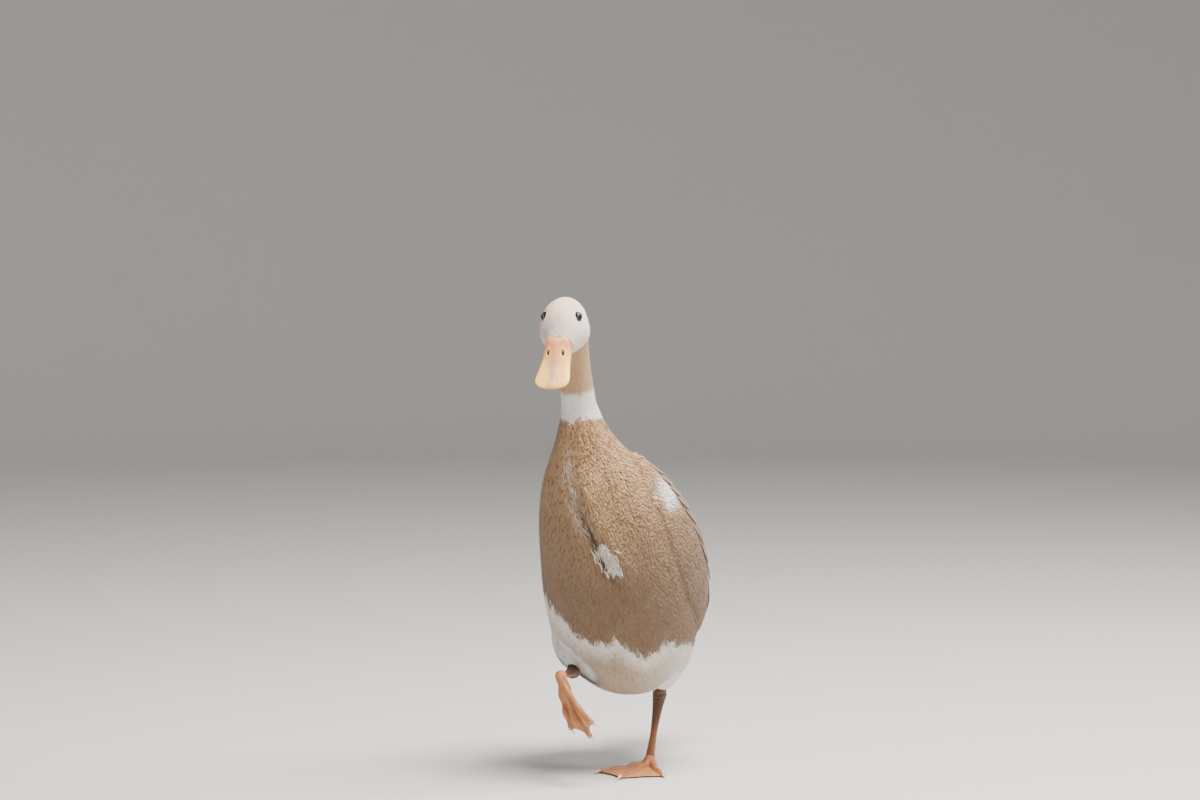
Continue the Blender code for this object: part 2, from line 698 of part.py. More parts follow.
def build_foot(name, joint, heading, lean, splay, droop, leather, parts):
    """A webbed foot, worked out flat with its sole at height 0 and then bent down by droop."""
    toes = []
    for angle, length in ((0.0, MIDDLE_TOE), (splay[0], INNER_TOE), (splay[1], OUTER_TOE)):
        toes.append((math.radians(angle), length))
    grounded = droop is None
    drop = at(joint)[2] if grounded else PALM_RADIUS

    def place(points):
        points = np.array(points, float)
        if grounded:
            points[..., 2] = np.maximum(points[..., 2], 0)
            rest = points - (0, 0, drop)
        else:
            reach = np.maximum(points[..., 1], 0)
            share = np.clip(reach / (MIDDLE_TOE + CLAW), 0, 1)
            rate = (droop[1] - droop[0]) / (MIDDLE_TOE + CLAW)
            angle = droop[0] + (droop[1] - droop[0]) * share
            ahead = (np.sin(angle) - math.sin(droop[0])) / rate
            fall = -(np.cos(angle) - math.cos(droop[0])) / rate
            slack = points[..., 1] - reach
            high = points[..., 2] - drop
            rest = np.stack(
                [
                    points[..., 0],
                    ahead + slack * math.cos(droop[0]) - high * np.sin(angle),
                    fall + slack * math.sin(droop[0]) + high * np.cos(angle),
                ],
                -1,
            )
        side = rest[..., 0] * math.cos(lean) - rest[..., 2] * math.sin(lean)
        high = rest[..., 0] * math.sin(lean) + rest[..., 2] * math.cos(lean)
        turned = np.stack(
            [
                side * math.cos(heading) + rest[..., 1] * math.sin(heading),
                side * math.sin(heading) - rest[..., 1] * math.cos(heading),
                high,
            ],
            -1,
        )
        return turned + at(joint)

    inward = 1 if name.endswith("left") else -1
    pieces = []
    lines = []
    for number, (angle, length) in enumerate(toes):
        way = np.array([inward * math.sin(angle), math.cos(angle), 0.0])
        s = np.linspace(0, 1, 13)
        knuckles = 1 + 0.16 * np.cos(2 * np.pi * TOE_JOINTS * s)
        radius = TOE_RADIUS * (1 - 0.32 * s) * knuckles
        high = radius * 0.86 + ANKLE_RISE * (1 - np.clip(s / 0.55, 0, 1)) ** 2
        path = way * (s * length)[:, None] + np.stack([0 * s, 0 * s, high], -1)
        pieces.append(loft(f"toe_{number}", place(tube_rings(path, radius, 8))))
        u = np.linspace(0, 1, 5)
        path = way * (length - 0.003 + u * (CLAW + 0.003))[:, None]
        path = path + np.stack([0 * u, 0 * u, 0.0031 - 0.0024 * u**1.6], -1)
        pieces.append(loft(f"claw_{number}", place(tube_rings(path, CLAW_RADIUS * (1 - 0.86 * u), 6))))
        lines.append((way, length))
    for number, (a, b) in enumerate(((lines[1], lines[0]), (lines[0], lines[2]))):
        pieces.append(web(f"web_{number}", a, b, place))
    if grounded:
        pieces.append(sole(at(joint)))
    palm = ball("palm", at(joint), PALM_RADIUS, segments=12)
    back = np.linspace(0, 1, 5)
    if grounded:
        path = np.stack([-inward * 0.003 * back, -0.002 - 0.016 * back, 0.0085 - 0.0045 * back], -1)
    else:
        path = np.stack([-inward * 0.003 * back, 0.003 + 0.010 * back, 0.001 - 0.011 * back], -1)
    radius = HIND_TOE_RADIUS * (1 - 0.73 * back**2)
    pieces.append(loft("hind_toe", place(tube_rings(path, radius, 6))))
    finish(join(f"foot_{name}", [palm, *pieces], []), leather, parts)


def sole(joint):
    """The pad under the toe joint, flat where it rests on the floor."""
    pad = ball("sole", (joint[0], joint[1], SOLE_HEIGHT), SOLE_RADIUS, (1.0, 1.1, 0.75), segments=12)
    for vertex in pad.data.vertices:
        vertex.co.z = max(vertex.co.z, 0.0)
    return pad


def web(name, first, second, place):
    """The skin between two toes, a thin plate whose front edge is scooped."""
    rows, columns = 8, 6
    v = np.linspace(0.10, 0.985, rows)[:, None]
    u = np.linspace(0, 1, columns)[None, :]
    reach = v * (1 - 0.10 * np.sin(np.pi * u) * v)
    flat = (
        first[0] * ((1 - u) * first[1] * reach)[..., None]
        + second[0] * (u * second[1] * reach)[..., None]
    )
    middle = WEB_HEIGHT + ANKLE_RISE * (1 - np.clip(v / 0.55, 0, 1)) ** 2 + 0 * u
    top, low = flat.copy(), flat.copy()
    top[..., 2] = middle + WEB_THICKNESS / 2
    low[..., 2] = middle - WEB_THICKNESS / 2
    verts = place(np.concatenate([top.reshape(-1, 3), low.reshape(-1, 3)]))
    under = rows * columns
    faces = []
    for i in range(rows - 1):
        for j in range(columns - 1):
            a, b = i * columns + j, (i + 1) * columns + j
            faces += [(a, a + 1, b + 1), (a, b + 1, b)]
            faces += [(under + b + 1, under + a + 1, under + a), (under + b, under + b + 1, under + a)]
        for j in (0, columns - 1):
            a, b = i * columns + j, (i + 1) * columns + j
            faces += [(a, b, under + b), (a, under + b, under + a)]
    for i in (0, rows - 1):
        for j in range(columns - 1):
            a = i * columns + j
            faces += [(a, a + 1, under + a + 1), (a, under + a + 1, under + a)]
    return solid(name, verts, faces)


def main():
    clear_scene()
    parts = collection("runner_duck")
    fawn = material("fawn feather", FAWN)
    pale = material("pale feather", PALE_FAWN)
    white = material("white feather", WHITE)
    horn = material("bill", BILL_YELLOW, 0.45)
    leather = material("leg skin", LEG_ORANGE, 0.6)
    black = material("eye", BLACK, 0.08)
    finish(torso("torso"), fawn, parts)
    build_neck(white, parts)
    build_head(pale, black, parts)
    build_bill(horn, parts)
    for name, side in (("wing_left", 1), ("wing_right", -1)):
        build_wing(name, side, fawn, parts)
    build_tail(fawn, parts)
    build_legs(white, leather, parts)
    build_foot("left", LEFT_TOES, 0.0, 0.0, STANDING_SPLAY, None, leather, parts)
    build_foot("right", RIGHT_TOES, LIFTED_HEADING, LIFTED_LEAN, LIFTED_SPLAY, LIFTED_DROOP, leather, parts)


main()
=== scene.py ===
"""The looks of a life-size Indian runner duck, fawn and white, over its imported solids.

Metres, +Z up. The duck looks along -Y and its own left side is +X. The origin lies on the
floor under the toe joint of the left foot.
"""

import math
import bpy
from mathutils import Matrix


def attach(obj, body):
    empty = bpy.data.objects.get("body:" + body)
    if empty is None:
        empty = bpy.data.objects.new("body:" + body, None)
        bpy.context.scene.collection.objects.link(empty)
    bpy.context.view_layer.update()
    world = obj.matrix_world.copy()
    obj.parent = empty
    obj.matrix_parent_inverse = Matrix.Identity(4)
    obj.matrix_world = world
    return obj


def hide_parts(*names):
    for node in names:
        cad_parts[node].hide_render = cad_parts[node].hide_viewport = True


bl_info = {
    "name": "Indian runner duck",
    "version": (1, 0, 0),
    "blender": (4, 5, 0),
    "location": "3D View > Sidebar > Duck",
    "description": "Builds the skin, plumage, bill, eyes, legs and feet of a runner duck",
    "category": "Add Mesh",
}

import bpy
import numpy as np
from bpy.props import FloatProperty, FloatVectorProperty, IntProperty, PointerProperty
from mathutils import Matrix, Vector
from mathutils.bvhtree import BVHTree
from mathutils.kdtree import KDTree

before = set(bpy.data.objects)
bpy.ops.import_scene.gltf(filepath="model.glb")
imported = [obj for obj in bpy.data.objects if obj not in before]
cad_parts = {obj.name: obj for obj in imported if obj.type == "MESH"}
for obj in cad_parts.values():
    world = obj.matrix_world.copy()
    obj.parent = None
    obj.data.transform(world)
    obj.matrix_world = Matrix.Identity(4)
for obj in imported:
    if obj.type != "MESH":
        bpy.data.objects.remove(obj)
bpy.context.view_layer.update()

# Body stations from the nape to the vent: side, forward, up, half width, back depth, breast depth.
NECK_ROWS = (
    (-0.0165, 0.172, 0.470, 0.0150, 0.0150, 0.0150),
    (-0.0205, 0.153, 0.465, 0.0182, 0.0182, 0.0182),
    (-0.0240, 0.140, 0.450, 0.0172, 0.0172, 0.0172),
    (-0.0257, 0.131, 0.430, 0.0164, 0.0164, 0.0164),
    (-0.0257, 0.124, 0.405, 0.0170, 0.0170, 0.0170),
)
TORSO_ROWS = (
    (-0.0245, 0.119, 0.383, 0.0190, 0.0175, 0.0190),
    (-0.0210, 0.113, 0.352, 0.0320, 0.0240, 0.0290),
    (-0.0170, 0.101, 0.318, 0.0530, 0.0400, 0.0470),
    (-0.0130, 0.083, 0.280, 0.0690, 0.0570, 0.0660),
    (-0.0115, 0.060, 0.238, 0.0780, 0.0720, 0.0790),
    (-0.0135, 0.038, 0.195, 0.0810, 0.0800, 0.0840),
    (-0.0165, 0.016, 0.155, 0.0765, 0.0820, 0.0810),
    (-0.0180, -0.006, 0.122, 0.0590, 0.0700, 0.0620),
    (-0.0180, -0.024, 0.100, 0.0340, 0.0440, 0.0320),
    (-0.0180, -0.034, 0.088, 0.0040, 0.0050, 0.0040),
)
BODY_ROWS = np.array(NECK_ROWS + TORSO_ROWS)
NECK_COUNT = len(NECK_ROWS)
TORSO_SPAN = len(TORSO_ROWS) - 1
BODY_LAST = len(BODY_ROWS) - 1

# The head: the point between the eyes, its turn and bow, and stations forwards from there:
# ahead, centre height, half width, above, below.
HEAD_AT = (-0.0140, 0.183, 0.479)
HEAD_TURN = math.radians(13)
HEAD_BOW = math.radians(46)
HEAD_ROWS = np.array((
    (-0.0300, -0.0100, 0.0040, 0.0040, 0.0040),
    (-0.0270, -0.0100, 0.0100, 0.0090, 0.0090),
    (-0.0180, -0.0140, 0.0190, 0.0205, 0.0200),
    (-0.0060, -0.0140, 0.0222, 0.0270, 0.0260),
    (0.0060, -0.0130, 0.0218, 0.0260, 0.0275),
    (0.0160, -0.0120, 0.0187, 0.0212, 0.0250),
    (0.0240, -0.0120, 0.0152, 0.0158, 0.0205),
    (0.0300, -0.0125, 0.0130, 0.0125, 0.0150),
))
# The eyes: how far to the side and ahead, and how far they turn forwards.
EYE_SIDE = 0.0157
EYE_AHEAD = 0.0010
EYE_LOOK = math.radians(20)
# Painted shade: the dark colour of the skin in the socket round each eye.
SOCKET_SHADE_COLOUR = (0.10, 0.068, 0.054)

# The parting of the breast feathers: trunk share and turn from the back in degrees.
PARTING = np.array((
    (0.059, 206.8), (0.106, 190.8), (0.147, 184.8), (0.201, 181.2), (0.247, 179.0),
    (0.281, 175.0), (0.312, 171.2), (0.344, 167.2), (0.375, 162.2), (0.408, 157.5),
))
# The lower border of the fawn: turn from the back in degrees and trunk share.
BELLY_BORDER = np.array((
    (0.0, 0.99), (40.0, 0.97), (62.0, 0.86), (84.5, 0.735), (108.8, 0.665), (121.2, 0.626),
    (129.2, 0.618), (145.0, 0.639), (155.2, 0.605), (164.8, 0.569), (175.8, 0.575),
    (189.8, 0.566), (202.3, 0.533), (217.5, 0.505), (240.0, 0.500), (262.0, 0.540),
    (298.0, 0.86), (320.0, 0.97), (360.0, 0.99),
))

# The folded wing on the trunk: share, upper edge and lower edge in degrees from the back.
WING_ROWS = np.array((
    (0.18, 54.0, 74.0), (0.24, 36.0, 92.0), (0.33, 26.0, 99.0),
    (0.44, 20.0, 102.0), (0.54, 17.0, 99.0), (0.61, 17.0, 92.0), (0.70, 19.0, 85.0),
))
WING_THICKNESS = 0.0080
WING_EDGE = 0.0014

TAIL_AT = (-0.0150, -0.050, 0.154)
TAIL_SLOPE = math.radians(-15)
# Tail root stations: behind, half width, above, below.
TAIL_ROWS = np.array((
    (-0.030, 0.0280, 0.0130, 0.0360),
    (-0.010, 0.0300, 0.0150, 0.0380),
    (0.010, 0.0270, 0.0125, 0.0330),
    (0.030, 0.0205, 0.0085, 0.0220),
    (0.050, 0.0130, 0.0045, 0.0105),
    (0.062, 0.0050, 0.0020, 0.0040),
))

LEFT_HOCK = (0.0045, -0.015, 0.075)
LEFT_KNEE = (0.0310, 0.010, 0.160)
LEFT_TOES = (0.0000, 0.0, 0.0085)
RIGHT_HOCK = (-0.0530, 0.076, 0.108)
RIGHT_KNEE = (-0.0615, 0.046, 0.156)
RIGHT_TOES = (-0.0385, 0.135, 0.113)
LEGS = {
    "left": (LEFT_KNEE, LEFT_HOCK, LEFT_TOES),
    "right": (RIGHT_KNEE, RIGHT_HOCK, RIGHT_TOES),
}
THIGH_RADII = (0.0072, 0.0140, 0.0245, 0.0270, 0.0255)

BODY_DEPTH = 0.0021
NECK_DEPTH = 0.0016
HEAD_DEPTH = 0.0013
SKIN_VOXEL = 0.0021
MOST_TUFTS = 8000

CAMERA_AT = (1.2290, -2.7592, 0.56)
CAMERA_TURN = math.radians(25)
CAMERA_PITCH = math.radians(3.28)
CAMERA_LENS = 86.94


def unit(vectors):
    return vectors / np.maximum(np.linalg.norm(vectors, axis=-1, keepdims=True), 1e-12)


def at(place):
    """Turns (side, forward, up) into a point of the frame."""
    return np.array((place[0], -place[1], place[2]))


def smooth(table, params):
    """Reads a table at params counted in rows: a cubic through every row, straight past the ends."""
    table = np.asarray(table, float)
    last = len(table) - 1
    slopes = np.gradient(table, axis=0)
    params = np.asarray(params, float)
    inside = np.clip(params, 0, last)
    low = np.minimum(inside.astype(int), last - 1)
    step = (inside - low)[..., None]
    square, cube = step**2, step**3
    value = (
        (2 * cube - 3 * square + 1) * table[low]
        + (cube - 2 * square + step) * slopes[low]
        + (3 * square - 2 * cube) * table[low + 1]
        + (cube - square) * slopes[low + 1]
    )
    end = np.where(params[..., None] > last, slopes[-1], slopes[0])
    return value + (params - inside)[..., None] * end


def bell(x, width):
    return np.exp(-0.5 * (x / width) ** 2)


def ramp(x, low, high):
    """0 below low, 1 above high, and a smooth rise between them."""
    share = np.clip((x - low) / (high - low), 0, 1)
    return share * share * (3 - 2 * share)


def over(base, other, mask):
    """The base colours with the other one laid over them, as strong as each point's mask."""
    return base * (1 - mask[:, None]) + other * mask[:, None]


def between(ends, step):
    """From the first of two ends at step 0 to the second one at step 1."""
    return ends[0] + (ends[1] - ends[0]) * step


def ripple(points, scale, seed=0):
    """Soft noise from -1 to 1: a mean of eight sines in scattered directions."""
    rng = np.random.default_rng(seed)
    ways = unit(rng.normal(size=(8, 3))) * rng.uniform(0.7, 1.4, (8, 1)) * 2 * np.pi / scale
    phases = rng.uniform(0, 2 * np.pi, 8)
    return np.sin(points @ ways.T + phases).mean(axis=-1) * 1.6


def share_of(k):
    """The trunk's share, 0 at the neck and 1 at the vent, from a body row number."""
    return (k - NECK_COUNT) / TORSO_SPAN


def row_of(share):
    return NECK_COUNT + TORSO_SPAN * np.asarray(share, float)


def parting_offset(k, turn):
    """Metres round the breast from the parting, positive to the duck's right."""
    share = share_of(k)
    line = np.interp(share, PARTING[:, 0], PARTING[:, 1])
    radius = smooth(BODY_ROWS, k)[..., 3]
    return np.radians(np.degrees(turn) % 360 - line) * radius


def breast_relief(k, turn):
    """Lift of the breast: the left half swells over a groove that runs down the parting."""
    share = share_of(k)
    offset = parting_offset(k, turn)
    along = ramp(share, 0.13, 0.22) * (1 - ramp(share, 0.37, 0.45))
    swell = 0.0062 * bell(offset + 0.012, 0.0085)
    shoulder = 0.0016 * bell(offset - 0.012, 0.008)
    groove = 0.0085 * bell(offset - 0.0012, 0.0034) * ramp(share, 0.17, 0.30)
    return along * (swell + shoulder - groove)


def body(k, turn, lift=0.0):
    """A point of neck or trunk: an oval section of half width w and depth d at row k,
    centre + side w sin(turn)^0.94 + back d cos(turn)^0.94, then lifted along its normal."""
    k, turn = np.broadcast_arrays(np.asarray(k, float), np.asarray(turn, float))

    def surface(k, turn):
        row = smooth(BODY_ROWS, k)
        ahead, behind = smooth(BODY_ROWS, k + 0.09), smooth(BODY_ROWS, k - 0.09)
        centre = np.stack([row[..., 0], -row[..., 1], row[..., 2]], -1)
        rise = ahead[..., 2] - behind[..., 2]
        along = unit(np.stack([0 * rise, behind[..., 1] - ahead[..., 1], rise], -1))
        side = np.broadcast_to((1.0, 0.0, 0.0), along.shape)
        back = np.cross(side, along)
        depth = np.where(np.cos(turn) > 0, row[..., 4], row[..., 5])
        wide = np.sign(np.sin(turn)) * np.abs(np.sin(turn)) ** 0.94
        deep = np.sign(np.cos(turn)) * np.abs(np.cos(turn)) ** 0.94
        return centre + side * (row[..., 3] * wide)[..., None] + back * (depth * deep)[..., None]

    here = surface(k, turn)
    down = surface(k + 0.03, turn) - surface(k - 0.03, turn)
    across = surface(k, turn + 0.02) - surface(k, turn - 0.02)
    out = unit(np.cross(across, down))
    return here + out * (np.asarray(lift) + breast_relief(k, turn))[..., None]


def trunk(share, turn, lift=0.0):
    return body(row_of(share), turn, lift)


def head_frame():
    turn = Matrix.Rotation(HEAD_TURN, 4, "Z")
    bow = Matrix.Rotation(HEAD_BOW, 4, "X")
    return np.array(Matrix.Translation(Vector(at(HEAD_AT))) @ turn @ bow)


def in_head(points):
    """Turns (side, -ahead, height) about the eyes into the frame."""
    matrix = head_frame()
    return np.asarray(points, float) @ matrix[:3, :3].T + matrix[:3, 3]


def to_head(points):
    """Turns points of the frame into (side, ahead, height) about the eyes."""
    matrix = head_frame()
    local = (np.asarray(points, float) - matrix[:3, 3]) @ matrix[:3, :3]
    return local * (1, -1, 1)


def tail_frame():
    slope = Matrix.Rotation(-TAIL_SLOPE, 4, "X")
    return np.array(Matrix.Translation(Vector(at(TAIL_AT))) @ slope)


def in_tail(points):
    """Turns (side, behind, height) about the tail's root into the frame."""
    matrix = tail_frame()
    return np.asarray(points, float) @ matrix[:3, :3].T + matrix[:3, 3]


def tube_rings(points, radii, sides, flat=1.0):
    """Rings across a path: point + radius (side cos + flat up sin) of an angle round it."""
    points = np.asarray(points, float)
    along = unit(np.gradient(points, axis=0))
    steep = np.abs(along[:, 2:]) > 0.9
    side = unit(np.cross(along, np.where(steep, (0.0, 1.0, 0.0), (0.0, 0.0, 1.0))))
    up = np.cross(side, along)
    turn = np.linspace(0, 2 * np.pi, sides, endpoint=False)
    circle = side[:, None] * np.cos(turn)[:, None] + flat * up[:, None] * np.sin(turn)[:, None]
    radii = np.asarray(radii)
    radii = radii[:, None, None] if radii.ndim == 1 else radii[..., None]
    return points[:, None] + radii * circle


def grid_faces(rows, columns, closed=False):
    """Quads over a grid of points, closed round the columns, and round the rows where asked."""
    i, j = np.meshgrid(np.arange(rows if closed else rows - 1), np.arange(columns), indexing="ij")
    here, below = i * columns, (i + 1) % rows * columns
    after = (j + 1) % columns
    return np.stack([here + j, here + after, below + after, below + j], -1).reshape(-1, 4)


def mesh_object(name, verts, faces):
    mesh = bpy.data.meshes.new(name)
    mesh.from_pydata(verts, [], faces)
    mesh.validate()
    made = bpy.data.objects.new(name, mesh)
    bpy.context.scene.collection.objects.link(made)
    return made


def shell(name, rings):
    """A closed surface over rings of points, with a fan of triangles over each end ring."""
    rings = np.asarray(rings, float)
    count, sides = rings.shape[:2]
    verts = np.concatenate([rings.reshape(-1, 3), [rings[0].mean(axis=0)], [rings[-1].mean(axis=0)]])
    start, end = count * sides, count * sides + 1
    column = np.arange(sides)
    after = (column + 1) % sides
    last = (count - 1) * sides
    faces = grid_faces(count, sides).tolist()
    faces += np.stack([np.full(sides, start), after, column], -1).tolist()
    faces += np.stack([np.full(sides, end), last + column, last + after], -1).tolist()
    made = mesh_object(name, verts.tolist(), faces)
    outward(made)
    return made


def outward(obj):
    """Turns a closed mesh's faces to point out: flips them where its signed volume is negative."""
    verts, tris = mesh_arrays(obj)
    corner = verts[tris]
    if np.einsum("ij,ij->i", corner[:, 0], np.cross(corner[:, 1], corner[:, 2])).sum() < 0:
        obj.data.flip_normals()


def mesh_arrays(obj):
    """(points, triangles) of a mesh."""
    mesh = obj.data
    mesh.calc_loop_triangles()
    verts = np.empty(len(mesh.vertices) * 3, np.float32)
    mesh.vertices.foreach_get("co", verts)
    tris = np.empty(len(mesh.loop_triangles) * 3, np.int32)
    mesh.loop_triangles.foreach_get("vertices", tris)
    return verts.reshape(-1, 3).astype(float), tris.reshape(-1, 3)


def vertex_normals(obj):
    normals = np.empty(len(obj.data.vertices) * 3, np.float32)
    obj.data.vertices.foreach_get("normal", normals)
    return normals.reshape(-1, 3).astype(float)


def apply_modifiers(obj):
    graph = bpy.context.evaluated_depsgraph_get()
    bpy.context.view_layer.update()
    mesh = bpy.data.meshes.new_from_object(obj.evaluated_get(graph))
    obj.modifiers.clear()
    obj.data = mesh
    return obj


def merge_shells(name, shells, voxel, smoothing):
    """One continuous surface over closed shells: a voxel grid's skin, then smoothed."""
    for other in shells:
        other.select_set(False)
    verts, faces, offset = [], [], 0
    for other in shells:
        points, tris = mesh_arrays(other)
        verts.append(points)
        faces.append(tris + offset)
        offset += len(points)
        bpy.data.objects.remove(other, do_unlink=True)
    made = mesh_object(name, np.concatenate(verts), np.concatenate(faces))
    remesh = made.modifiers.new("Merge", "REMESH")
    remesh.mode = "VOXEL"
    remesh.voxel_size = voxel
    ease = made.modifiers.new("Ease", "SMOOTH")
    ease.factor = 0.5
    ease.iterations = smoothing
    apply_modifiers(made)
    made.data.shade_smooth()
    return made


def dress(obj, material, *nodes, slot=None):
    """Gives a piece its material and body, and hides the solids that it stands for; the slot is not used.
    """
    obj.data.materials.clear()
    obj.data.materials.append(material)
    obj.data.shade_smooth()
    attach(obj, "root")
    if nodes:
        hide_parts(*nodes)
    return obj


def paint(obj, name, colours):
    """Writes a colour for each point into the attribute name."""
    colours = np.asarray(colours, np.float32)
    layer = obj.data.attributes.new(name, "FLOAT_COLOR", "POINT")
    opaque = np.ones((len(colours), 1), np.float32)
    layer.data.foreach_set("color", np.concatenate([colours, opaque], 1).ravel())


# Surfaces of the flesh, each sunk below the coat by its depth.


def wing_height(share, degrees):
    """Height of the folded wing over the trunk: edge + (full - edge) times sin along the wing
    to 0.45 and sin across it to 1.1, easing down to the edge's height past its end."""
    along = np.interp(share, WING_ROWS[:, 0], np.linspace(0, 1, len(WING_ROWS)))
    upper = np.interp(share, WING_ROWS[:, 0], WING_ROWS[:, 1])
    lower = np.interp(share, WING_ROWS[:, 0], WING_ROWS[:, 2])
    across = np.clip((degrees - upper) / (lower - upper), 0, 1)
    high = np.sin(np.pi * (0.02 + 0.95 * along)) ** 0.45 * np.abs(np.sin(np.pi * across)) ** 1.1
    high = high * (1 - ramp(share, 0.69, 0.76)) * ramp(share, 0.17, 0.20)
    return WING_EDGE + (WING_THICKNESS - WING_EDGE) * high


def wing_cover(side, rows, columns, sink=0.0):
    """The folded wing's outer and inner grids. Outer: trunk lifted by edge + (full - edge)
    times sin along the wing to 0.45 and sin across it to 1.1; inner: sunk into the trunk."""
    along = np.linspace(0, 1, rows)
    table = smooth(WING_ROWS, along * (len(WING_ROWS) - 1))
    across = np.linspace(0, 1, columns)
    share = table[:, :1] + 0 * across
    turn = side * np.radians(table[:, 1:2] + (table[:, 2:3] - table[:, 1:2]) * across)
    bulge = np.abs(np.sin(np.pi * across)) ** 1.1
    length = np.sin(np.pi * (0.02 + 0.95 * along)) ** 0.45
    high = WING_EDGE + (WING_THICKNESS - WING_EDGE) * length[:, None] * bulge - sink
    return trunk(share, turn, high), trunk(share, turn, -0.008 + 0 * high)


def wing_core(side):
    outer, inner = wing_cover(side, 48, 40, 0.0012)
    rings = np.concatenate([outer, inner[:, ::-1]], 1)
    return shell("core", rings)


def head_rings(rows, sides, sink):
    row = smooth(HEAD_ROWS, np.linspace(0, len(HEAD_ROWS) - 1, rows))
    turn = np.linspace(0, 2 * np.pi, sides, endpoint=False)
    ahead, centre, wide, above, below = (row[:, k][:, None] for k in range(5))
    reach = np.where(np.cos(turn) > 0, above, below) - sink
    ahead = ahead - sink * np.linspace(-1, 1, rows)[:, None]
    cheek = np.where(np.cos(turn) > 0, 1.0, 0.8)
    side = np.maximum(wide - sink, 0.001) * np.sign(np.sin(turn)) * np.abs(np.sin(turn)) ** cheek
    high = centre + np.maximum(reach, 0.001) * np.sign(np.cos(turn)) * np.abs(np.cos(turn)) ** 0.92
    cheeks = 0.0046 * bell(high + 0.0250, 0.0085) * bell(ahead - 0.005, 0.0100)
    temples = 0.0016 * bell(high - 0.0060, 0.0070) * bell(ahead + 0.001, 0.0120)
    side = side + np.sign(side) * (cheeks - temples) * ramp(np.abs(side), 0.003, 0.012)
    return in_head(np.stack([side, -ahead + 0 * side, high], -1))


def tail_core():
    row = smooth(TAIL_ROWS, np.linspace(0, len(TAIL_ROWS) - 1, 30))
    turn = np.linspace(0, 2 * np.pi, 40, endpoint=False)
    behind, wide, above, below = (row[:, k][:, None] for k in range(4))
    sink = 0.003
    high = np.cos(turn) * np.maximum(np.where(np.cos(turn) > 0, above, below) - sink, 0.001)
    side = np.maximum(wide - sink, 0.001) * np.sin(turn)
    return shell("core", in_tail(np.stack([side, behind + 0 * side, high], -1)))


def thigh_core(knee, hock):
    """The feathered thigh, a cone from inside the trunk to just above the hock."""
    shares = np.array((0.13, 0.2, 0.5, 0.8, 1.0))
    points = np.array([at(hock) * (1 - s) + at(knee) * s for s in shares])
    row = smooth(np.column_stack([points, THIGH_RADII]), np.linspace(0, 4, 30))
    return shell("core", tube_rings(row[:, :3], np.maximum(row[:, 3] - 0.0022, 0.003), 40))


class DuckPlumage(bpy.types.PropertyGroup):
    fawn: FloatVectorProperty(
        name="Fawn", description="Upper breast, neck base and back", subtype="COLOR",
        size=3, min=0, max=1, default=(0.50, 0.305, 0.155),
    )
    # Deep fawn: the darker fawn of the lower breast and wing, darkened further as painted shade of the
    # lower body.
    deep_fawn_and_shade: FloatVectorProperty(
        name="Deep fawn", description="Lower breast and wing", subtype="COLOR",
        size=3, min=0, max=1, default=(0.200, 0.128, 0.080),
    )
    white: FloatVectorProperty(
        name="White", description="Collar, belly, thighs and flight feathers", subtype="COLOR",
        size=3, min=0, max=1, default=(0.88, 0.86, 0.83),
    )
    crown: FloatVectorProperty(
        name="Crown", description="Pale pinkish fawn of cap and cheeks", subtype="COLOR",
        size=3, min=0, max=1, default=(0.84, 0.60, 0.46),
    )
    streak: FloatVectorProperty(
        name="Streak", description="Dark shaft streaks of the breast", subtype="COLOR",
        size=3, min=0, max=1, default=(0.115, 0.056, 0.028),
    )
    density: FloatProperty(
        name="Density", description="Feathers to an area, against the usual number",
        default=1.0, min=0.1, max=2.0,
    )
    seed: IntProperty(name="Seed", description="Seed of the scatter", default=7, min=0)


def body_place(points):
    """The body row number and the turn of the body's nearest surface point."""
    k = np.linspace(0, BODY_LAST, 330)
    turn = np.linspace(0, 2 * np.pi, 160, endpoint=False)
    rows, turns = (values.ravel() for values in np.meshgrid(k, turn, indexing="ij"))
    grid = body(rows, turns)
    tree = KDTree(len(grid))
    for index, point in enumerate(grid):
        tree.insert(point, index)
    tree.balance()
    found = np.array([tree.find(point)[1] for point in points])
    return rows[found], turns[found]


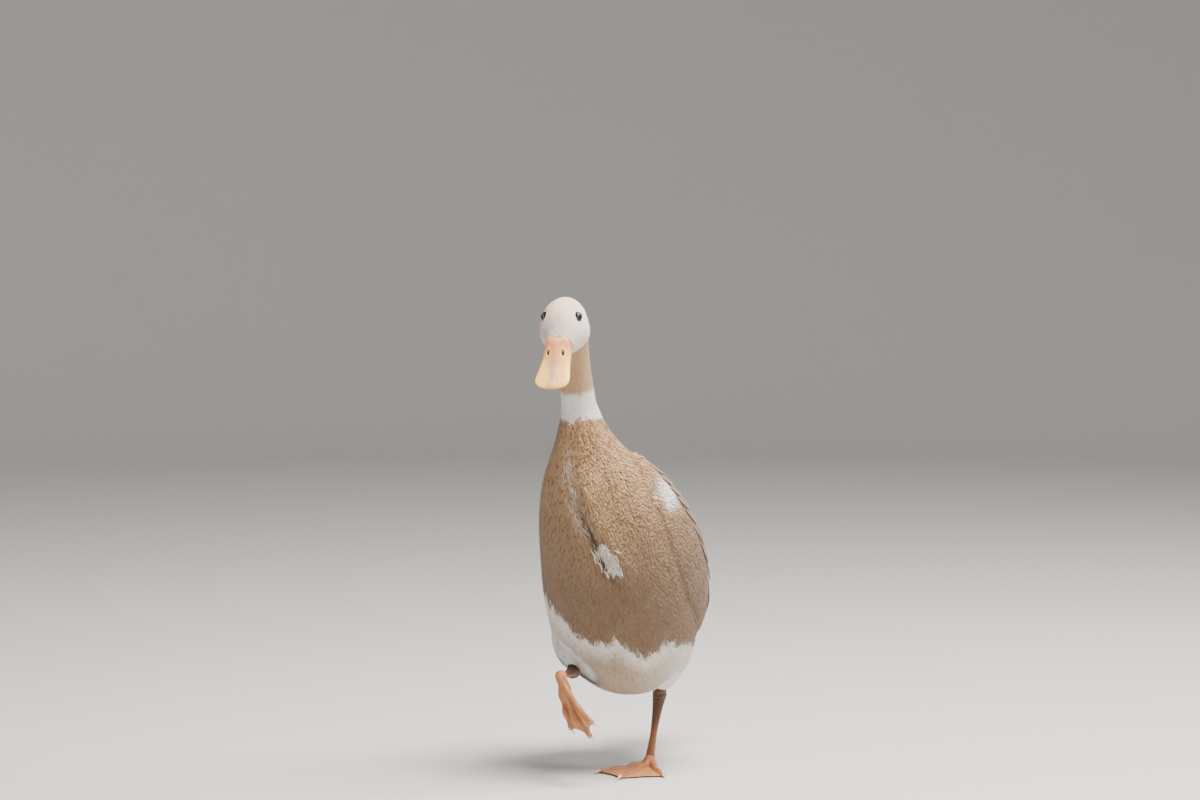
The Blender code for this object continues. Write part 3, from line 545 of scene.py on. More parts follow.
def plumage(points, k, turn, look):
    """The plumage colour at points: a white collar and belly round a fawn breast and back,
    a pale head, and a whitish patch on the shoulder; borders wander by soft noise. The fawn deepens
    down the trunk partly as painted shade, the belly is greyed with a darker front as painted shade,
    the parting's cleft is painted shade, the fawn band under the chin is partly painted shade of the
    head, and the shoulder patch is partly a painted highlight."""
    fawn, deep, white, crown = (
        np.array(colour) for colour in (look.fawn, look.deep_fawn_and_shade, look.white, look.crown)
    )
    share = share_of(k)
    degrees = np.degrees(turn) % 360
    wander = ripple(points, 0.013, 3) * 0.010 + ripple(points, 0.004, 4) * 0.008
    # The fawn darkens down the trunk to the deep fawn: partly the plumage's own darker tone, partly
    # painted shade of the lower body.
    low = ramp(share, 0.05, 0.50)[:, None]
    tone = fawn * (1 - low) + deep * low
    tone = tone * (1 + 0.07 * ripple(points, 0.02, 5) + 0.05 * ripple(points, 0.006, 6))[:, None]
    offset = parting_offset(k, turn)
    wisps = 0.5 + 0.5 * ripple(points * (1, 1, 0.25), 0.0045, 9)
    pale = bell(offset - 0.004, 0.0042) * ramp(share, 0.06, 0.13) * (1 - ramp(share, 0.26, 0.36))
    tone = over(tone, 0.62 * white + 0.38 * fawn, np.clip(0.5 * pale * wisps, 0, 1))
    # Painted shade: the cleft of the parting is darkened.
    cleft_shade = bell(offset + 0.0012, 0.0022) * ramp(share, 0.22, 0.29) * (1 - ramp(share, 0.36, 0.41))
    tone = tone * (1 - 0.68 * cleft_shade[:, None])
    border = np.interp(degrees, BELLY_BORDER[:, 0], BELLY_BORDER[:, 1]) - 0.018
    middle = bell(degrees - 170, 37) * ramp(share, border + 0.02, border + 0.08)
    # Painted shade: the belly's white is greyed, and darker still down its front.
    belly = np.broadcast_to(white * (0.84, 0.80, 0.76), tone.shape)
    belly = over(belly, white * (0.46, 0.35, 0.26), middle)
    tone = over(tone, belly, ramp(share + wander, border, border + 0.022))
    # The whitish shoulder patch on each side: partly white wing feathers, partly a painted highlight of
    # light on the shoulder.
    for side in (1, -1):
        spot = trunk(0.300, side * math.radians(79), 0.006)
        near = np.linalg.norm(points - spot, axis=-1) + 0.4 * wander
        tone = over(tone, 0.94 * white + 0.06 * fawn, 0.88 * (1 - ramp(near, 0.002, 0.026)))
    for knee, hock, _toes in LEGS.values():
        near = np.linalg.norm(points - (0.25 * at(knee) + 0.75 * at(hock)), axis=-1)
        tone = over(tone, white, 1 - ramp(near, 0.026, 0.034))
    tone = over(tone, white, 1 - ramp(share + wander, 0.004, 0.020))
    # The fawn band under the chin: partly the plumage's fawn, partly painted shade cast by the head.
    throat = ramp(-share + 0.6 * wander, 0.108, 0.132)
    tone = over(tone, 0.85 * fawn + 0.15 * crown, throat)
    local = to_head(points)
    on_head = ramp(-share, 0.36, 0.44) * ramp(local[:, 2] + 0.5 * local[:, 1], -0.044, -0.036)
    return np.clip(over(tone, head_colour(points, look), on_head), 0, 1)


def head_colour(points, look):
    """A white face with a pinkish cap and fine flecks, and the skin round the eyes painted dark as painted
    shade in the sockets.
    """
    local = to_head(points)
    ahead, high = local[:, 1], local[:, 2]
    white, crown = np.array(look.white), np.array(look.crown)
    face = np.broadcast_to(np.minimum(white * (1.06, 0.93, 0.92), 0.95), points.shape)
    cap = ramp(high, -0.002, 0.006) * (1 - ramp(ahead, 0.010, 0.022))
    cheek = bell(high + 0.019, 0.009) * bell(ahead - 0.001, 0.012)
    pale = bell(np.hypot(ahead - 0.004, high), 0.0055) * 0.8
    flecks = 1 - 0.26 * np.maximum(ripple(points, 0.0020, 8), 0)
    warm = np.clip(cap + 0.22 * cheek, 0, 1) * (1 - pale)
    from_eye = np.hypot(ahead - EYE_AHEAD, high) + 0.02 * (np.abs(local[:, 0]) < 0.008)
    head = over(face, crown, warm) * flecks[:, None]
    # Painted shade in the socket round each eye.
    return over(head, np.array(SOCKET_SHADE_COLOUR), 1 - ramp(from_eye, 0.0040, 0.0048))


def new_material(name):
    made = bpy.data.materials.new(name)
    made.use_nodes = True
    return made, made.node_tree.nodes, made.node_tree.links


def math_node(nodes, links, operation, first, second=0.0):
    node = nodes.new("ShaderNodeMath")
    node.operation = operation
    for socket, value in zip(node.inputs, (first, second)):
        if isinstance(value, (int, float)):
            socket.default_value = value
        else:
            links.new(value, socket)
    return node.outputs[0]


def attribute_node(nodes, name):
    node = nodes.new("ShaderNodeAttribute")
    node.attribute_name = name
    return node


def smooth_step(nodes, links, value, low, high):
    """0 where the value is low, 1 where it is high, and a smooth rise between them."""
    step = nodes.new("ShaderNodeMapRange")
    step.interpolation_type = "SMOOTHSTEP"
    step.inputs["From Min"].default_value = low
    step.inputs["From Max"].default_value = high
    links.new(value, step.inputs["Value"])
    return step.outputs["Result"]


def relief(nodes, links, height, distance, strength=1.0):
    """Bumps the material's surface by a height of 0 to 1, at most by that distance."""
    bump = nodes.new("ShaderNodeBump")
    bump.inputs["Strength"].default_value = strength
    bump.inputs["Distance"].default_value = distance
    links.new(height, bump.inputs["Height"])
    links.new(bump.outputs["Normal"], nodes["Principled BSDF"].inputs["Normal"])


def noise_node(nodes, links, scale, detail=3.0):
    place = nodes.new("ShaderNodeTexCoord")
    noise = nodes.new("ShaderNodeTexNoise")
    noise.inputs["Scale"].default_value = scale
    noise.inputs["Detail"].default_value = detail
    links.new(place.outputs["Object"], noise.inputs["Vector"])
    return noise.outputs["Fac"]


def tinted(nodes, links, colour, factor, low, high):
    """The colour brightened from low to high as factor goes from 0 to 1."""
    span = nodes.new("ShaderNodeMapRange")
    span.inputs["To Min"].default_value = low
    span.inputs["To Max"].default_value = high
    links.new(factor, span.inputs["Value"])
    scale = nodes.new("ShaderNodeVectorMath")
    scale.operation = "SCALE"
    links.new(colour, scale.inputs[0])
    links.new(span.outputs["Result"], scale.inputs["Scale"])
    return scale.outputs["Vector"]


BARB_SLANT = 0.55
BARB_RELIEF = 0.0002
DOWN_RELIEF = 0.0005


def feather_material(name, look, barbs=60.0, shaft=(0.40, 0.20), start=(0.42, 0.60)):
    """Colour from the plumage attribute, barbs slanting from the shaft, and a dark streak on
    the shaft, of that half width and from that share on, where the mark attribute asks."""
    made, nodes, links = new_material(name)
    shader = nodes["Principled BSDF"]
    shader.inputs["Roughness"].default_value = 0.78
    shader.inputs["Specular IOR Level"].default_value = 0.25
    shader.inputs["Sheen Weight"].default_value = 0.12
    shader.inputs["Sheen Roughness"].default_value = 0.5
    colour = attribute_node(nodes, "plumage")
    mark = attribute_node(nodes, "mark")
    vane = nodes.new("ShaderNodeUVMap")
    vane.uv_map = "vane"
    split = nodes.new("ShaderNodeSeparateXYZ")
    links.new(vane.outputs["UV"], split.inputs["Vector"])
    aside = math_node(nodes, links, "SUBTRACT", split.outputs["X"], 0.5)
    off = math_node(nodes, links, "ABSOLUTE", aside)
    behind = math_node(nodes, links, "MULTIPLY", off, BARB_SLANT)
    slant = math_node(nodes, links, "SUBTRACT", split.outputs["Y"], behind)
    wave = math_node(nodes, links, "SINE", math_node(nodes, links, "MULTIPLY", slant, barbs))
    barb = math_node(nodes, links, "MULTIPLY_ADD", wave, 0.5)
    barb.node.inputs[2].default_value = 0.5
    fine = tinted(nodes, links, colour.outputs["Color"], barb, 0.95, 1.03)
    cloudy = tinted(nodes, links, fine, noise_node(nodes, links, 160.0), 0.92, 1.07)
    narrow = smooth_step(nodes, links, off, *shaft)
    tip = smooth_step(nodes, links, split.outputs["Y"], *start)
    streak = math_node(nodes, links, "MULTIPLY", narrow, tip)
    streak = math_node(nodes, links, "MULTIPLY", streak, mark.outputs["Fac"])
    blend = nodes.new("ShaderNodeMix")
    blend.data_type = "RGBA"
    links.new(streak, blend.inputs["Factor"])
    links.new(cloudy, blend.inputs["A"])
    blend.inputs["B"].default_value = (*look.streak, 1)
    links.new(blend.outputs["Result"], shader.inputs["Base Color"])
    relief(nodes, links, barb, BARB_RELIEF, 0.35)
    return made


def down_material(name):
    """The skin between the feathers: the same plumage colour, darker and downy."""
    made, nodes, links = new_material(name)
    shader = nodes["Principled BSDF"]
    shader.inputs["Roughness"].default_value = 0.9
    colour = attribute_node(nodes, "plumage").outputs["Color"]
    noise = noise_node(nodes, links, 900.0, 5.0)
    links.new(tinted(nodes, links, colour, noise, 0.75, 0.98), shader.inputs["Base Color"])
    relief(nodes, links, noise, DOWN_RELIEF)
    return made


# Places tried for each one that the area has room for, and the gap between body feathers in
# widths of a feather.
SCATTER_TRIES = 4.5
COAT_SPACING = 0.60


def scatter(obj, spacing, allowed, seed):
    """Places on a mesh no nearer to each other than spacing(points): random places by area,
    each taken in turn if no taken one is too near. Returns points and normals."""
    rng = np.random.default_rng(seed)
    verts, tris = mesh_arrays(obj)
    normals = vertex_normals(obj)
    corner = verts[tris]
    normal = np.cross(corner[:, 1] - corner[:, 0], corner[:, 2] - corner[:, 0])
    area = 0.5 * np.linalg.norm(normal, axis=1)
    gap = spacing(corner.mean(axis=1))
    weight = area / gap**2
    count = int(weight.sum() * SCATTER_TRIES)
    picked = rng.choice(len(tris), count, p=weight / weight.sum())
    a, b = rng.random((2, count, 1))
    flip = a + b > 1
    a, b = np.where(flip, 1 - a, a), np.where(flip, 1 - b, b)
    points = corner[picked, 0] * (1 - a - b) + corner[picked, 1] * a + corner[picked, 2] * b
    turned = normals[tris[picked]]
    turned = unit(turned[:, 0] * (1 - a - b) + turned[:, 1] * a + turned[:, 2] * b)
    good = allowed(points, turned)
    points, turned, gap = points[good], turned[good], gap[picked][good]
    tree = KDTree(len(points))
    for index, point in enumerate(points):
        tree.insert(point, index)
    tree.balance()
    free = np.ones(len(points), bool)
    taken = []
    for index in range(len(points)):
        if free[index]:
            taken.append(index)
            near = [found[1] for found in tree.find_range(points[index], gap[index])]
            free[near] = False
    return points[taken], turned[taken]


# A body feather: shares along its spine, its width there against the widest, its thickness,
# and the size of its patch on the bake's map.
SPINE = np.array((0.0, 0.42, 0.80, 1.0))
OUTLINE = np.array((0.35, 1.0, 0.84, 0.20))
TUFT_THICKNESS = 0.00028
PATCH_SIZE = 0.003


def tufts(roots, lie, normals, length, width, low, high, drop, across_radius):
    """Body feathers as thin closed vanes. At share s of its length a spine point is
    root + lie length s + normal (low + (high - low) s + drop s^2), and the edges stand half
    the outline's width aside, bent down by offset^2 / (2 radius)."""
    across = unit(np.cross(normals, lie))
    s = SPINE[None, :, None]
    spine = roots[:, None] + lie[:, None] * (length[:, None, None] * s)
    height = low[:, None] + (high - low)[:, None] * SPINE + drop[:, None] * SPINE**2
    half = 0.5 * width[:, None] * OUTLINE
    sag = half**2 / (2 * across_radius[:, None])
    up = normals[:, None]
    middle = spine + up * height[..., None]
    edge_up = up * (height - sag - 0.03 * half)[..., None]
    left = spine + edge_up - across[:, None] * half[..., None]
    right = spine + edge_up + across[:, None] * half[..., None]
    below = middle[:, 1:-1] - up * (TUFT_THICKNESS + 0.05 * half[:, 1:-1, None])
    steps = len(SPINE)
    verts = np.concatenate([left, middle, right, below], 1)
    low_row = np.arange(3 * steps, 4 * steps - 2)
    under = np.concatenate([[steps], low_row, [2 * steps - 1]])
    faces = []
    for i in range(steps - 1):
        on_left, on_spine, on_right = i, steps + i, 2 * steps + i
        faces.append((on_left, on_spine, on_spine + 1, on_left + 1))
        faces.append((on_spine, on_right, on_right + 1, on_spine + 1))
        faces.append((on_left, on_left + 1, under[i + 1], under[i]))
        faces.append((under[i], under[i + 1], on_right + 1, on_right))
    y = np.concatenate([SPINE, SPINE, SPINE, SPINE[1:-1]])
    x = np.concatenate([np.zeros(steps), np.full(steps, 0.5), np.ones(steps), np.full(steps - 2, 0.5)])
    soft = unit(normals[:, None] + across[:, None] * (0.5 * (2 * x - 1))[:, None])
    return verts, np.array(faces)[:, ::-1], np.stack([x, y], 1), soft


def feather_object(name, verts, faces, vane, colours, marks, patch, soft=None):
    """Joins feathers of one pattern into a mesh with its colours, marks and both UV maps. Soft
    holds the points' normals, near those of the skin below, so that the coat shades as one."""
    count, each = verts.shape[:2]
    every = (faces[None] + (np.arange(count) * each)[:, None, None]).reshape(-1, faces.shape[1])
    made = mesh_object(name, verts.reshape(-1, 3), every)
    mesh = made.data
    loops = np.empty(len(mesh.loops), np.int32)
    mesh.loops.foreach_get("vertex_index", loops)
    bake = np.clip(patch[:, None] + (vane[None] - 0.5) * PATCH_SIZE, 0, 1)
    own = np.broadcast_to(vane[None], (count, each, 2))
    for layer, uv in (("OFBake", bake), ("vane", own)):
        mesh.uv_layers.new(name=layer).data.foreach_set("uv", uv.reshape(-1, 2)[loops].ravel())
    if colours.ndim == 2:
        colours = np.repeat(colours[:, None], each, axis=1)
    paint(made, "plumage", colours.reshape(-1, 3))
    mark = mesh.attributes.new("mark", "FLOAT", "POINT")
    mark.data.foreach_set("value", np.repeat(marks, each).astype(np.float32))
    if soft is not None:
        mesh.shade_smooth()
        mesh.normals_split_custom_set_from_vertices(soft.reshape(-1, 3))
    return made


def build_skin(look):
    """One skin over trunk, neck, head, wings' arms, tail root and thighs."""
    k = np.linspace(0, BODY_LAST, 150)[:, None]
    turn = np.linspace(0, 2 * np.pi, 120, endpoint=False)[None]
    depth = NECK_DEPTH + (BODY_DEPTH - NECK_DEPTH) * ramp(k, NECK_COUNT - 1, NECK_COUNT + 1)
    cores = [
        shell("core", body(k + 0 * turn, turn + 0 * k, -depth + 0 * turn)),
        shell("core", head_rings(50, 80, HEAD_DEPTH)),
        tail_core(),
        wing_core(1),
        wing_core(-1),
    ]
    cores += [thigh_core(knee, hock) for knee, hock, _toes in LEGS.values()]
    skin = merge_shells("skin", cores, SKIN_VOXEL, 3)
    points, _tris = mesh_arrays(skin)
    k, turn = body_place(points)
    paint(skin, "plumage", plumage(points, k, turn, look))
    nodes = ("torso", "neck", "head", "thigh_left", "thigh_right")
    return dress(skin, down_material("down"), *nodes, slot="fawn_feather")


def lie_of(points, normals, k):
    """The way feathers point: down the body's own line, back from the bill on the head,
    down the thighs, back along the tail; turned into the surface."""
    after = smooth(BODY_ROWS, np.clip(k + 0.4, 0, BODY_LAST))
    before = smooth(BODY_ROWS, np.clip(k - 0.4, 0, BODY_LAST))
    line = after - before
    way = unit(np.stack([line[:, 0], -line[:, 1], line[:, 2]], -1))
    matrix = head_frame()[:3, :3]
    local = to_head(points)
    back = matrix @ np.array((0.0, 1.0, 0.0))
    down = matrix @ np.array((0.0, 0.35, -0.9))
    behind = ramp(-local[:, 1], -0.004, 0.022)[:, None]
    head_way = unit(back * (1 - behind) + (0.45 * back + down) * behind)
    on_head = ramp(NECK_COUNT - k, 3.6, 4.6)[:, None]
    way = way * (1 - on_head) + head_way * on_head
    tail_way = tail_frame()[:3, 1]
    on_tail = ramp(points[:, 1], 0.050, 0.075)[:, None]
    way = way * (1 - on_tail) + tail_way * on_tail
    for knee, hock, _toes in LEGS.values():
        axis = at(hock) - at(knee)
        share = np.clip((points - at(knee)) @ axis / (axis @ axis), 0, 1)
        near = np.linalg.norm(points - at(knee) - share[:, None] * axis, axis=1)
        on_leg = (ramp(share, 0.25, 0.55) * (1 - ramp(near, 0.024, 0.040)))[:, None]
        way = way * (1 - on_leg) + unit(axis[None])[0] * on_leg
    sway = ripple(points, 0.016, 11) * 0.12 + ripple(points, 0.005, 12) * 0.10
    way = unit(way + np.cross(normals, way) * sway[:, None])
    return unit(way - normals * (way * normals).sum(axis=1, keepdims=True))


def tuft_sizes(points, k):
    """Length, width and coat depth of the body feathers at points, smallest on the face."""
    local = to_head(points)
    on_head = ramp(NECK_COUNT - k, 3.4, 4.6)
    low = ramp(k, NECK_COUNT - 0.8, NECK_COUNT + 2.2)
    face = ramp(local[:, 1], -0.006, 0.024)
    wing_side = ramp(k, NECK_COUNT + 2.5, NECK_COUNT + 5)
    length = 0.0052 + (0.0088 - 0.0052) * low + 0.0022 * wing_side
    width = 0.0018 + (0.0029 - 0.0018) * low + 0.0006 * wing_side
    length = length * (1 - on_head) + (0.0044 - 0.0021 * face) * on_head
    width = width * (1 - on_head) + (0.0016 - 0.0006 * face) * on_head
    depth = NECK_DEPTH + (BODY_DEPTH - NECK_DEPTH) * ramp(k, NECK_COUNT - 1, NECK_COUNT + 1)
    depth = depth * (1 - on_head) + (HEAD_DEPTH - 0.0005 * face) * on_head
    length = length * (1 - 0.40 * ramp(points[:, 1], 0.045, 0.075))
    for _knee, hock, _toes in LEGS.values():
        near = ramp(np.linalg.norm(points - at(hock), axis=1), 0.012, 0.045)
        length = np.minimum(length, 0.0050 + 0.010 * near)
        width = np.minimum(width, 0.0018 + 0.0040 * near)
        depth = np.minimum(depth, 0.0015 + 0.0030 * near)
    return length, width, depth


def clear_of_face(points, normals):
    """True where a feather may grow: off the eyes and the bill's base."""
    local = to_head(points)
    out, ahead = np.abs(local[:, 0]) - EYE_SIDE, local[:, 1] - EYE_AHEAD
    before = ahead * math.cos(EYE_LOOK) - out * math.sin(EYE_LOOK)
    before = np.where(before > 0, np.maximum(before - 0.0022, 0), before)
    eye = (np.hypot(before, local[:, 2]) < 0.0047) & (np.abs(local[:, 0]) > 0.008)
    bill = (local[:, 1] > 0.0290) & (local[:, 2] > -0.030)
    wedge = (np.abs(local[:, 0]) < 0.004) & (local[:, 2] > -0.012)
    return ~(eye | (bill & ~wedge))


def under_quills(share, turn):
    """True where the quills of a folded wing hide the skin."""
    degrees = np.abs((np.degrees(turn) + 180) % 360 - 180)
    low = np.interp(share, (0.30, 0.60), (60.0, 56.0))
    return (share > 0.33) & (share < 0.60) & (degrees > 22) & (degrees < low)


def build_coat(look):
    """Body feathers all over the skin but under the wings' quills, in pieces small enough to
    keep their detail."""
    skin = bpy.data.objects["skin"]

    def spacing(points):
        k, _turn = body_place(points)
        _length, width, _depth = tuft_sizes(points, k)
        return width * COAT_SPACING / math.sqrt(look.density)

    roots, normals = scatter(skin, spacing, clear_of_face, look.seed)
    rng = np.random.default_rng(look.seed + 1)
    k, turn = body_place(roots)
    open_air = ~under_quills(share_of(k), turn)
    roots, normals, k, turn = roots[open_air], normals[open_air], k[open_air], turn[open_air]
    length, width, depth = tuft_sizes(roots, k)
    count = len(roots)
    length = length * rng.uniform(0.85, 1.15, count)
    width = width * rng.uniform(0.85, 1.15, count)
    lie = lie_of(roots, normals, k)
    skin_points, skin_tris = mesh_arrays(skin)
    tree = BVHTree.FromPolygons(skin_points.tolist(), skin_tris.tolist())
    tips = roots + lie * length[:, None]
    ends = np.array([tree.find_nearest(tip)[0] for tip in tips])
    drop = np.clip(((ends - tips) * normals).sum(axis=1), -0.5 * length, 0.35 * length)
    across = np.where(k < NECK_COUNT - 0.5, 0.017, 0.055)
    high = depth * rng.uniform(0.92, 1.08, count) + 0.0001
    share = share_of(k)
    colours = plumage(roots + lie * (0.6 * length)[:, None], k, turn, look)
    colours = np.clip(colours * rng.normal(1.0, 0.04, (count, 1)), 0, 1)
    fawn = 1 - ramp(colours[:, 2], 0.34, 0.50)
    often = (0.28 + 0.16 * (1 - ramp(share, 0.04, 0.14))) * ramp(share, -0.02, 0.03)
    often = often * (1 - 0.35 * ramp(share, 0.30, 0.62))
    strength = 1 - 0.62 * ramp(share, 0.26, 0.50)
    marks = fawn * strength * (rng.random(count) < often) * rng.uniform(0.45, 1.0, count)
    low = np.full(count, -0.0004)
    verts, faces, vane, soft = tufts(roots, lie, normals, length, width, low, high, drop, across)
    patch = 0.02 + 0.96 * np.stack([(turn % (2 * np.pi)) / (2 * np.pi), k / BODY_LAST], -1)
    coat = feather_material("feather", look)
    order = np.argsort(k, kind="stable")
    pieces = -(-count // MOST_TUFTS)
    for number, part in enumerate(np.array_split(order, pieces)):
        made = feather_object(
            f"coat_{number + 1}", verts[part], faces, vane, colours[part], marks[part],
            patch[part], soft[part],
        )
        dress(made, coat, slot="fawn_feather")


# The bill: ahead of the eyes, half width, ridge height, edge height, chin height.
BILL_ROWS = np.array((
    (0.0225, 0.0104, 0.0036, -0.0185, -0.0240),
    (0.0285, 0.0126, 0.0018, -0.0210, -0.0262),
    (0.0360, 0.0135, -0.0036, -0.0213, -0.0262),
    (0.0450, 0.0143, -0.0090, -0.0208, -0.0256),
    (0.0550, 0.0156, -0.0135, -0.0205, -0.0248),
    (0.0640, 0.0170, -0.0163, -0.0205, -0.0240),
    (0.0700, 0.0165, -0.0178, -0.0207, -0.0236),
    (0.0745, 0.0126, -0.0190, -0.0210, -0.0228),
    (0.0768, 0.0040, -0.0200, -0.0212, -0.0222),
))
# How far the bill sits to the duck's right at its root, and how much more for each metre ahead.
BILL_ROOT = 0.0304
BILL_SHIFT = 0.0010
BILL_SKEW = 0.03
MOUTH_GAP = 0.0005
NOSTRIL_AT = (0.0410, 0.0073)
NOSTRIL_SIZE = (0.0030, 0.0015)
NOSTRIL_COLOUR = (0.045, 0.018, 0.012)
NAIL_AT = 0.0735
LAMELLA = 0.0012


class DuckBill(bpy.types.PropertyGroup):
    base: FloatVectorProperty(
        name="Bill base", description="Warm pink of the bill's root", subtype="COLOR",
        size=3, min=0, max=1, default=(0.84, 0.36, 0.14),
    )
    side: FloatVectorProperty(
        name="Bill side", description="Pale yellow of the edges and tip", subtype="COLOR",
        size=3, min=0, max=1, default=(0.92, 0.54, 0.125),
    )
    ridge: FloatVectorProperty(
        name="Bill ridge", description="Lilac pink down the middle", subtype="COLOR",
        size=3, min=0, max=1, default=(0.50, 0.27, 0.25),
    )
    roughness: FloatProperty(
        name="Bill roughness", description="How matt the horn is", default=0.42, min=0.05, max=1.0,
    )


def from_nostril(ahead, side):
    """0 in the middle of the nearer nostril and 1 on its oval edge."""
    long, wide = NOSTRIL_SIZE
    return np.hypot((ahead - NOSTRIL_AT[0]) / long, (np.abs(side) - NOSTRIL_AT[1]) / wide)


def bill_surface(upper):
    """Half of the bill as rings. Top: edge + rise sin(angle)^0.85, pinched to a ridge, with a
    nail at the tip, a lip at the edge and two oval pits for nostrils; below: the flat palate
    with its comb. Lower half: a shallow trough under the mouth's gap."""
    rows, half = (120, 44) if upper else (80, 28)
    row = smooth(BILL_ROWS, np.linspace(0, len(BILL_ROWS) - 1, rows))
    ahead, wide, ridge, edge, chin = (row[:, k][:, None] for k in range(5))
    turn = np.linspace(0, np.pi, half + 1)[None, :]
    back = np.linspace(np.pi, 2 * np.pi, half + 1)[None, 1:-1]
    comb = np.sin(2 * np.pi * ahead / LAMELLA) * ramp(ahead, 0.036, 0.042)
    comb = comb * (1 - ramp(ahead, 0.068, 0.074))
    if upper:
        lip = 0.15 * (ridge - edge)
        side = wide * np.cos(turn)
        square = 0.50 + 0.35 * ramp(ahead, 0.027, 0.042)
        top = edge + lip + (ridge - edge - lip) * np.sin(turn) ** square
        top = top - 0.0036 * bell(side, 0.0052) * (1 - ramp(ahead, 0.0255, 0.0345))
        top = top + 0.0005 * bell(side, 0.0022) * (1 - ramp(ahead, 0.060, 0.068))
        top = top - 0.0006 * bell(np.abs(side) - 0.0075, 0.003) * bell(ahead - 0.052, 0.009)
        offset = np.hypot((ahead - NAIL_AT) / 0.0046, side / 0.0042)
        top = top + 0.0006 * (1 - ramp(offset, 0.75, 1.0)) - 0.00025 * bell(offset - 1.08, 0.10)
        pit = from_nostril(ahead, side)
        top = top - 0.0020 * (1 - ramp(pit, 0.55, 1.0)) + 0.0004 * bell(pit - 1.25, 0.22)
        curl = np.abs(np.cos(turn)) ** 6
        top = top + 0.0004 * curl * ramp(ahead, 0.034, 0.040)
        under = edge + 0.25 * lip * np.sin(back) - 0.0003 * comb * np.abs(np.cos(back)) ** 3
        side = np.concatenate([side, 0.96 * wide * np.cos(back)], 1)
        high = np.concatenate([top, under], 1)
    else:
        wide = wide - 0.0016
        roof = edge - MOUTH_GAP - 0.0010
        top = roof + 0.0004 * np.sin(turn)
        under = roof + (roof - chin) * np.sin(back) - 0.0003 * comb * np.abs(np.cos(back)) ** 6
        high = np.concatenate([top, under], 1)
        side = wide * np.concatenate([np.cos(turn), 0.97 * np.cos(back)], 1)
    side = side - BILL_SHIFT - BILL_SKEW * (ahead - BILL_ROOT)
    return np.stack([side, -ahead + 0 * side, high], -1)


def bill_colour(local, look):
    """Warm pink at the root, yellow along edges and tip, lilac down the ridge, dark nostrils."""
    ahead, high = -local[:, 1], local[:, 2]
    side = local[:, 0] + BILL_SHIFT + BILL_SKEW * (ahead - BILL_ROOT)
    base, yellow, ridge = (np.array(colour) for colour in (look.base, look.side, look.ridge))
    outer = ramp(ahead + 0.9 * np.abs(side), 0.040, 0.066)
    tone = over(np.broadcast_to(base, local.shape), yellow, outer)
    wander = 0.0012 * ripple(local, 0.009, 21)
    middle = bell(side + wander, 0.0030 + 0.03 * np.maximum(ahead - 0.05, 0))
    tone = over(tone, ridge, 0.75 * middle * ramp(ahead, 0.037, 0.050) * (high > -0.0195))
    tone = over(tone, base * 1.05, 0.5 * bell(np.hypot(side, ahead - NAIL_AT), 0.003))
    tone = over(tone, base * (0.93, 0.72, 0.75), 0.6 * (1 - ramp(ahead, 0.030, 0.036)))
    pit = from_nostril(ahead, side)
    above = high > -0.017
    tone = over(tone, yellow * 1.06, 0.8 * bell(pit - 1.45, 0.30) * above)
    tone = over(tone, np.array(NOSTRIL_COLOUR), (1 - ramp(pit, 0.72, 1.0)) * above)
    speck = np.maximum(ripple(local, 0.0030, 22), 0) ** 3 * 0.10
    return np.clip(tone * (1 - speck[:, None]), 0, 1)


def horn_material(name, roughness, noise_scale, bump_height, weight):
    """Colour from the tone attribute, clouded by noise, with a grain of the same noise as relief."""
    made, nodes, links = new_material(name)
    shader = nodes["Principled BSDF"]
    shader.inputs["Roughness"].default_value = roughness
    shader.inputs["Subsurface Weight"].default_value = weight
    shader.inputs["Subsurface Radius"].default_value = (1.0, 0.4, 0.2)
    shader.inputs["Subsurface Scale"].default_value = 0.002
    colour = attribute_node(nodes, "tone").outputs["Color"]
    noise = noise_node(nodes, links, noise_scale, 4.0)
    links.new(tinted(nodes, links, colour, noise, 0.90, 1.06), shader.inputs["Base Color"])
    relief(nodes, links, noise, bump_height, 0.5)
    return made


def build_bill(look):
    horn = horn_material("bill", look.roughness, 500.0, 0.0002, 0.15)
    for name, upper in (("bill_top", True), ("bill_under", False)):
        local = bill_surface(upper)
        made = shell(name, in_head(local))
        flat = local.reshape(-1, 3)
        flat = np.concatenate([flat, [local[0].mean(axis=0)], [local[-1].mean(axis=0)]])
        paint(made, "tone", bill_colour(flat, look))
        dress(made, horn, "bill_upper" if upper else "bill_lower", slot="bill_horn")


class DuckEye(bpy.types.PropertyGroup):
    radius: FloatProperty(
        name="Eye radius", description="Radius of the eyeball", subtype="DISTANCE",
        unit="LENGTH", default=0.0052, min=0.004, max=0.007, precision=4,
    )
    lid: FloatVectorProperty(
        name="Lid", description="Bare rim of the eyelids", subtype="COLOR",
        size=3, min=0, max=1, default=(0.07, 0.05, 0.042),
    )


# The ring of each lid: half its height, how far out of the eye's middle, and its thickness.
LID_REACH = 0.0042
LID_OUT = 0.0026
LID_THICKNESS = 0.00062


def by_eye(side, out, ahead, high):
    """Points about an eye: out runs along its gaze, which turns forwards by the look angle."""
    x = EYE_SIDE + out * math.cos(EYE_LOOK) - ahead * math.sin(EYE_LOOK)
    y = EYE_AHEAD + out * math.sin(EYE_LOOK) + ahead * math.cos(EYE_LOOK)
    return in_head(np.stack([side * x, -y, high + 0 * x], -1))


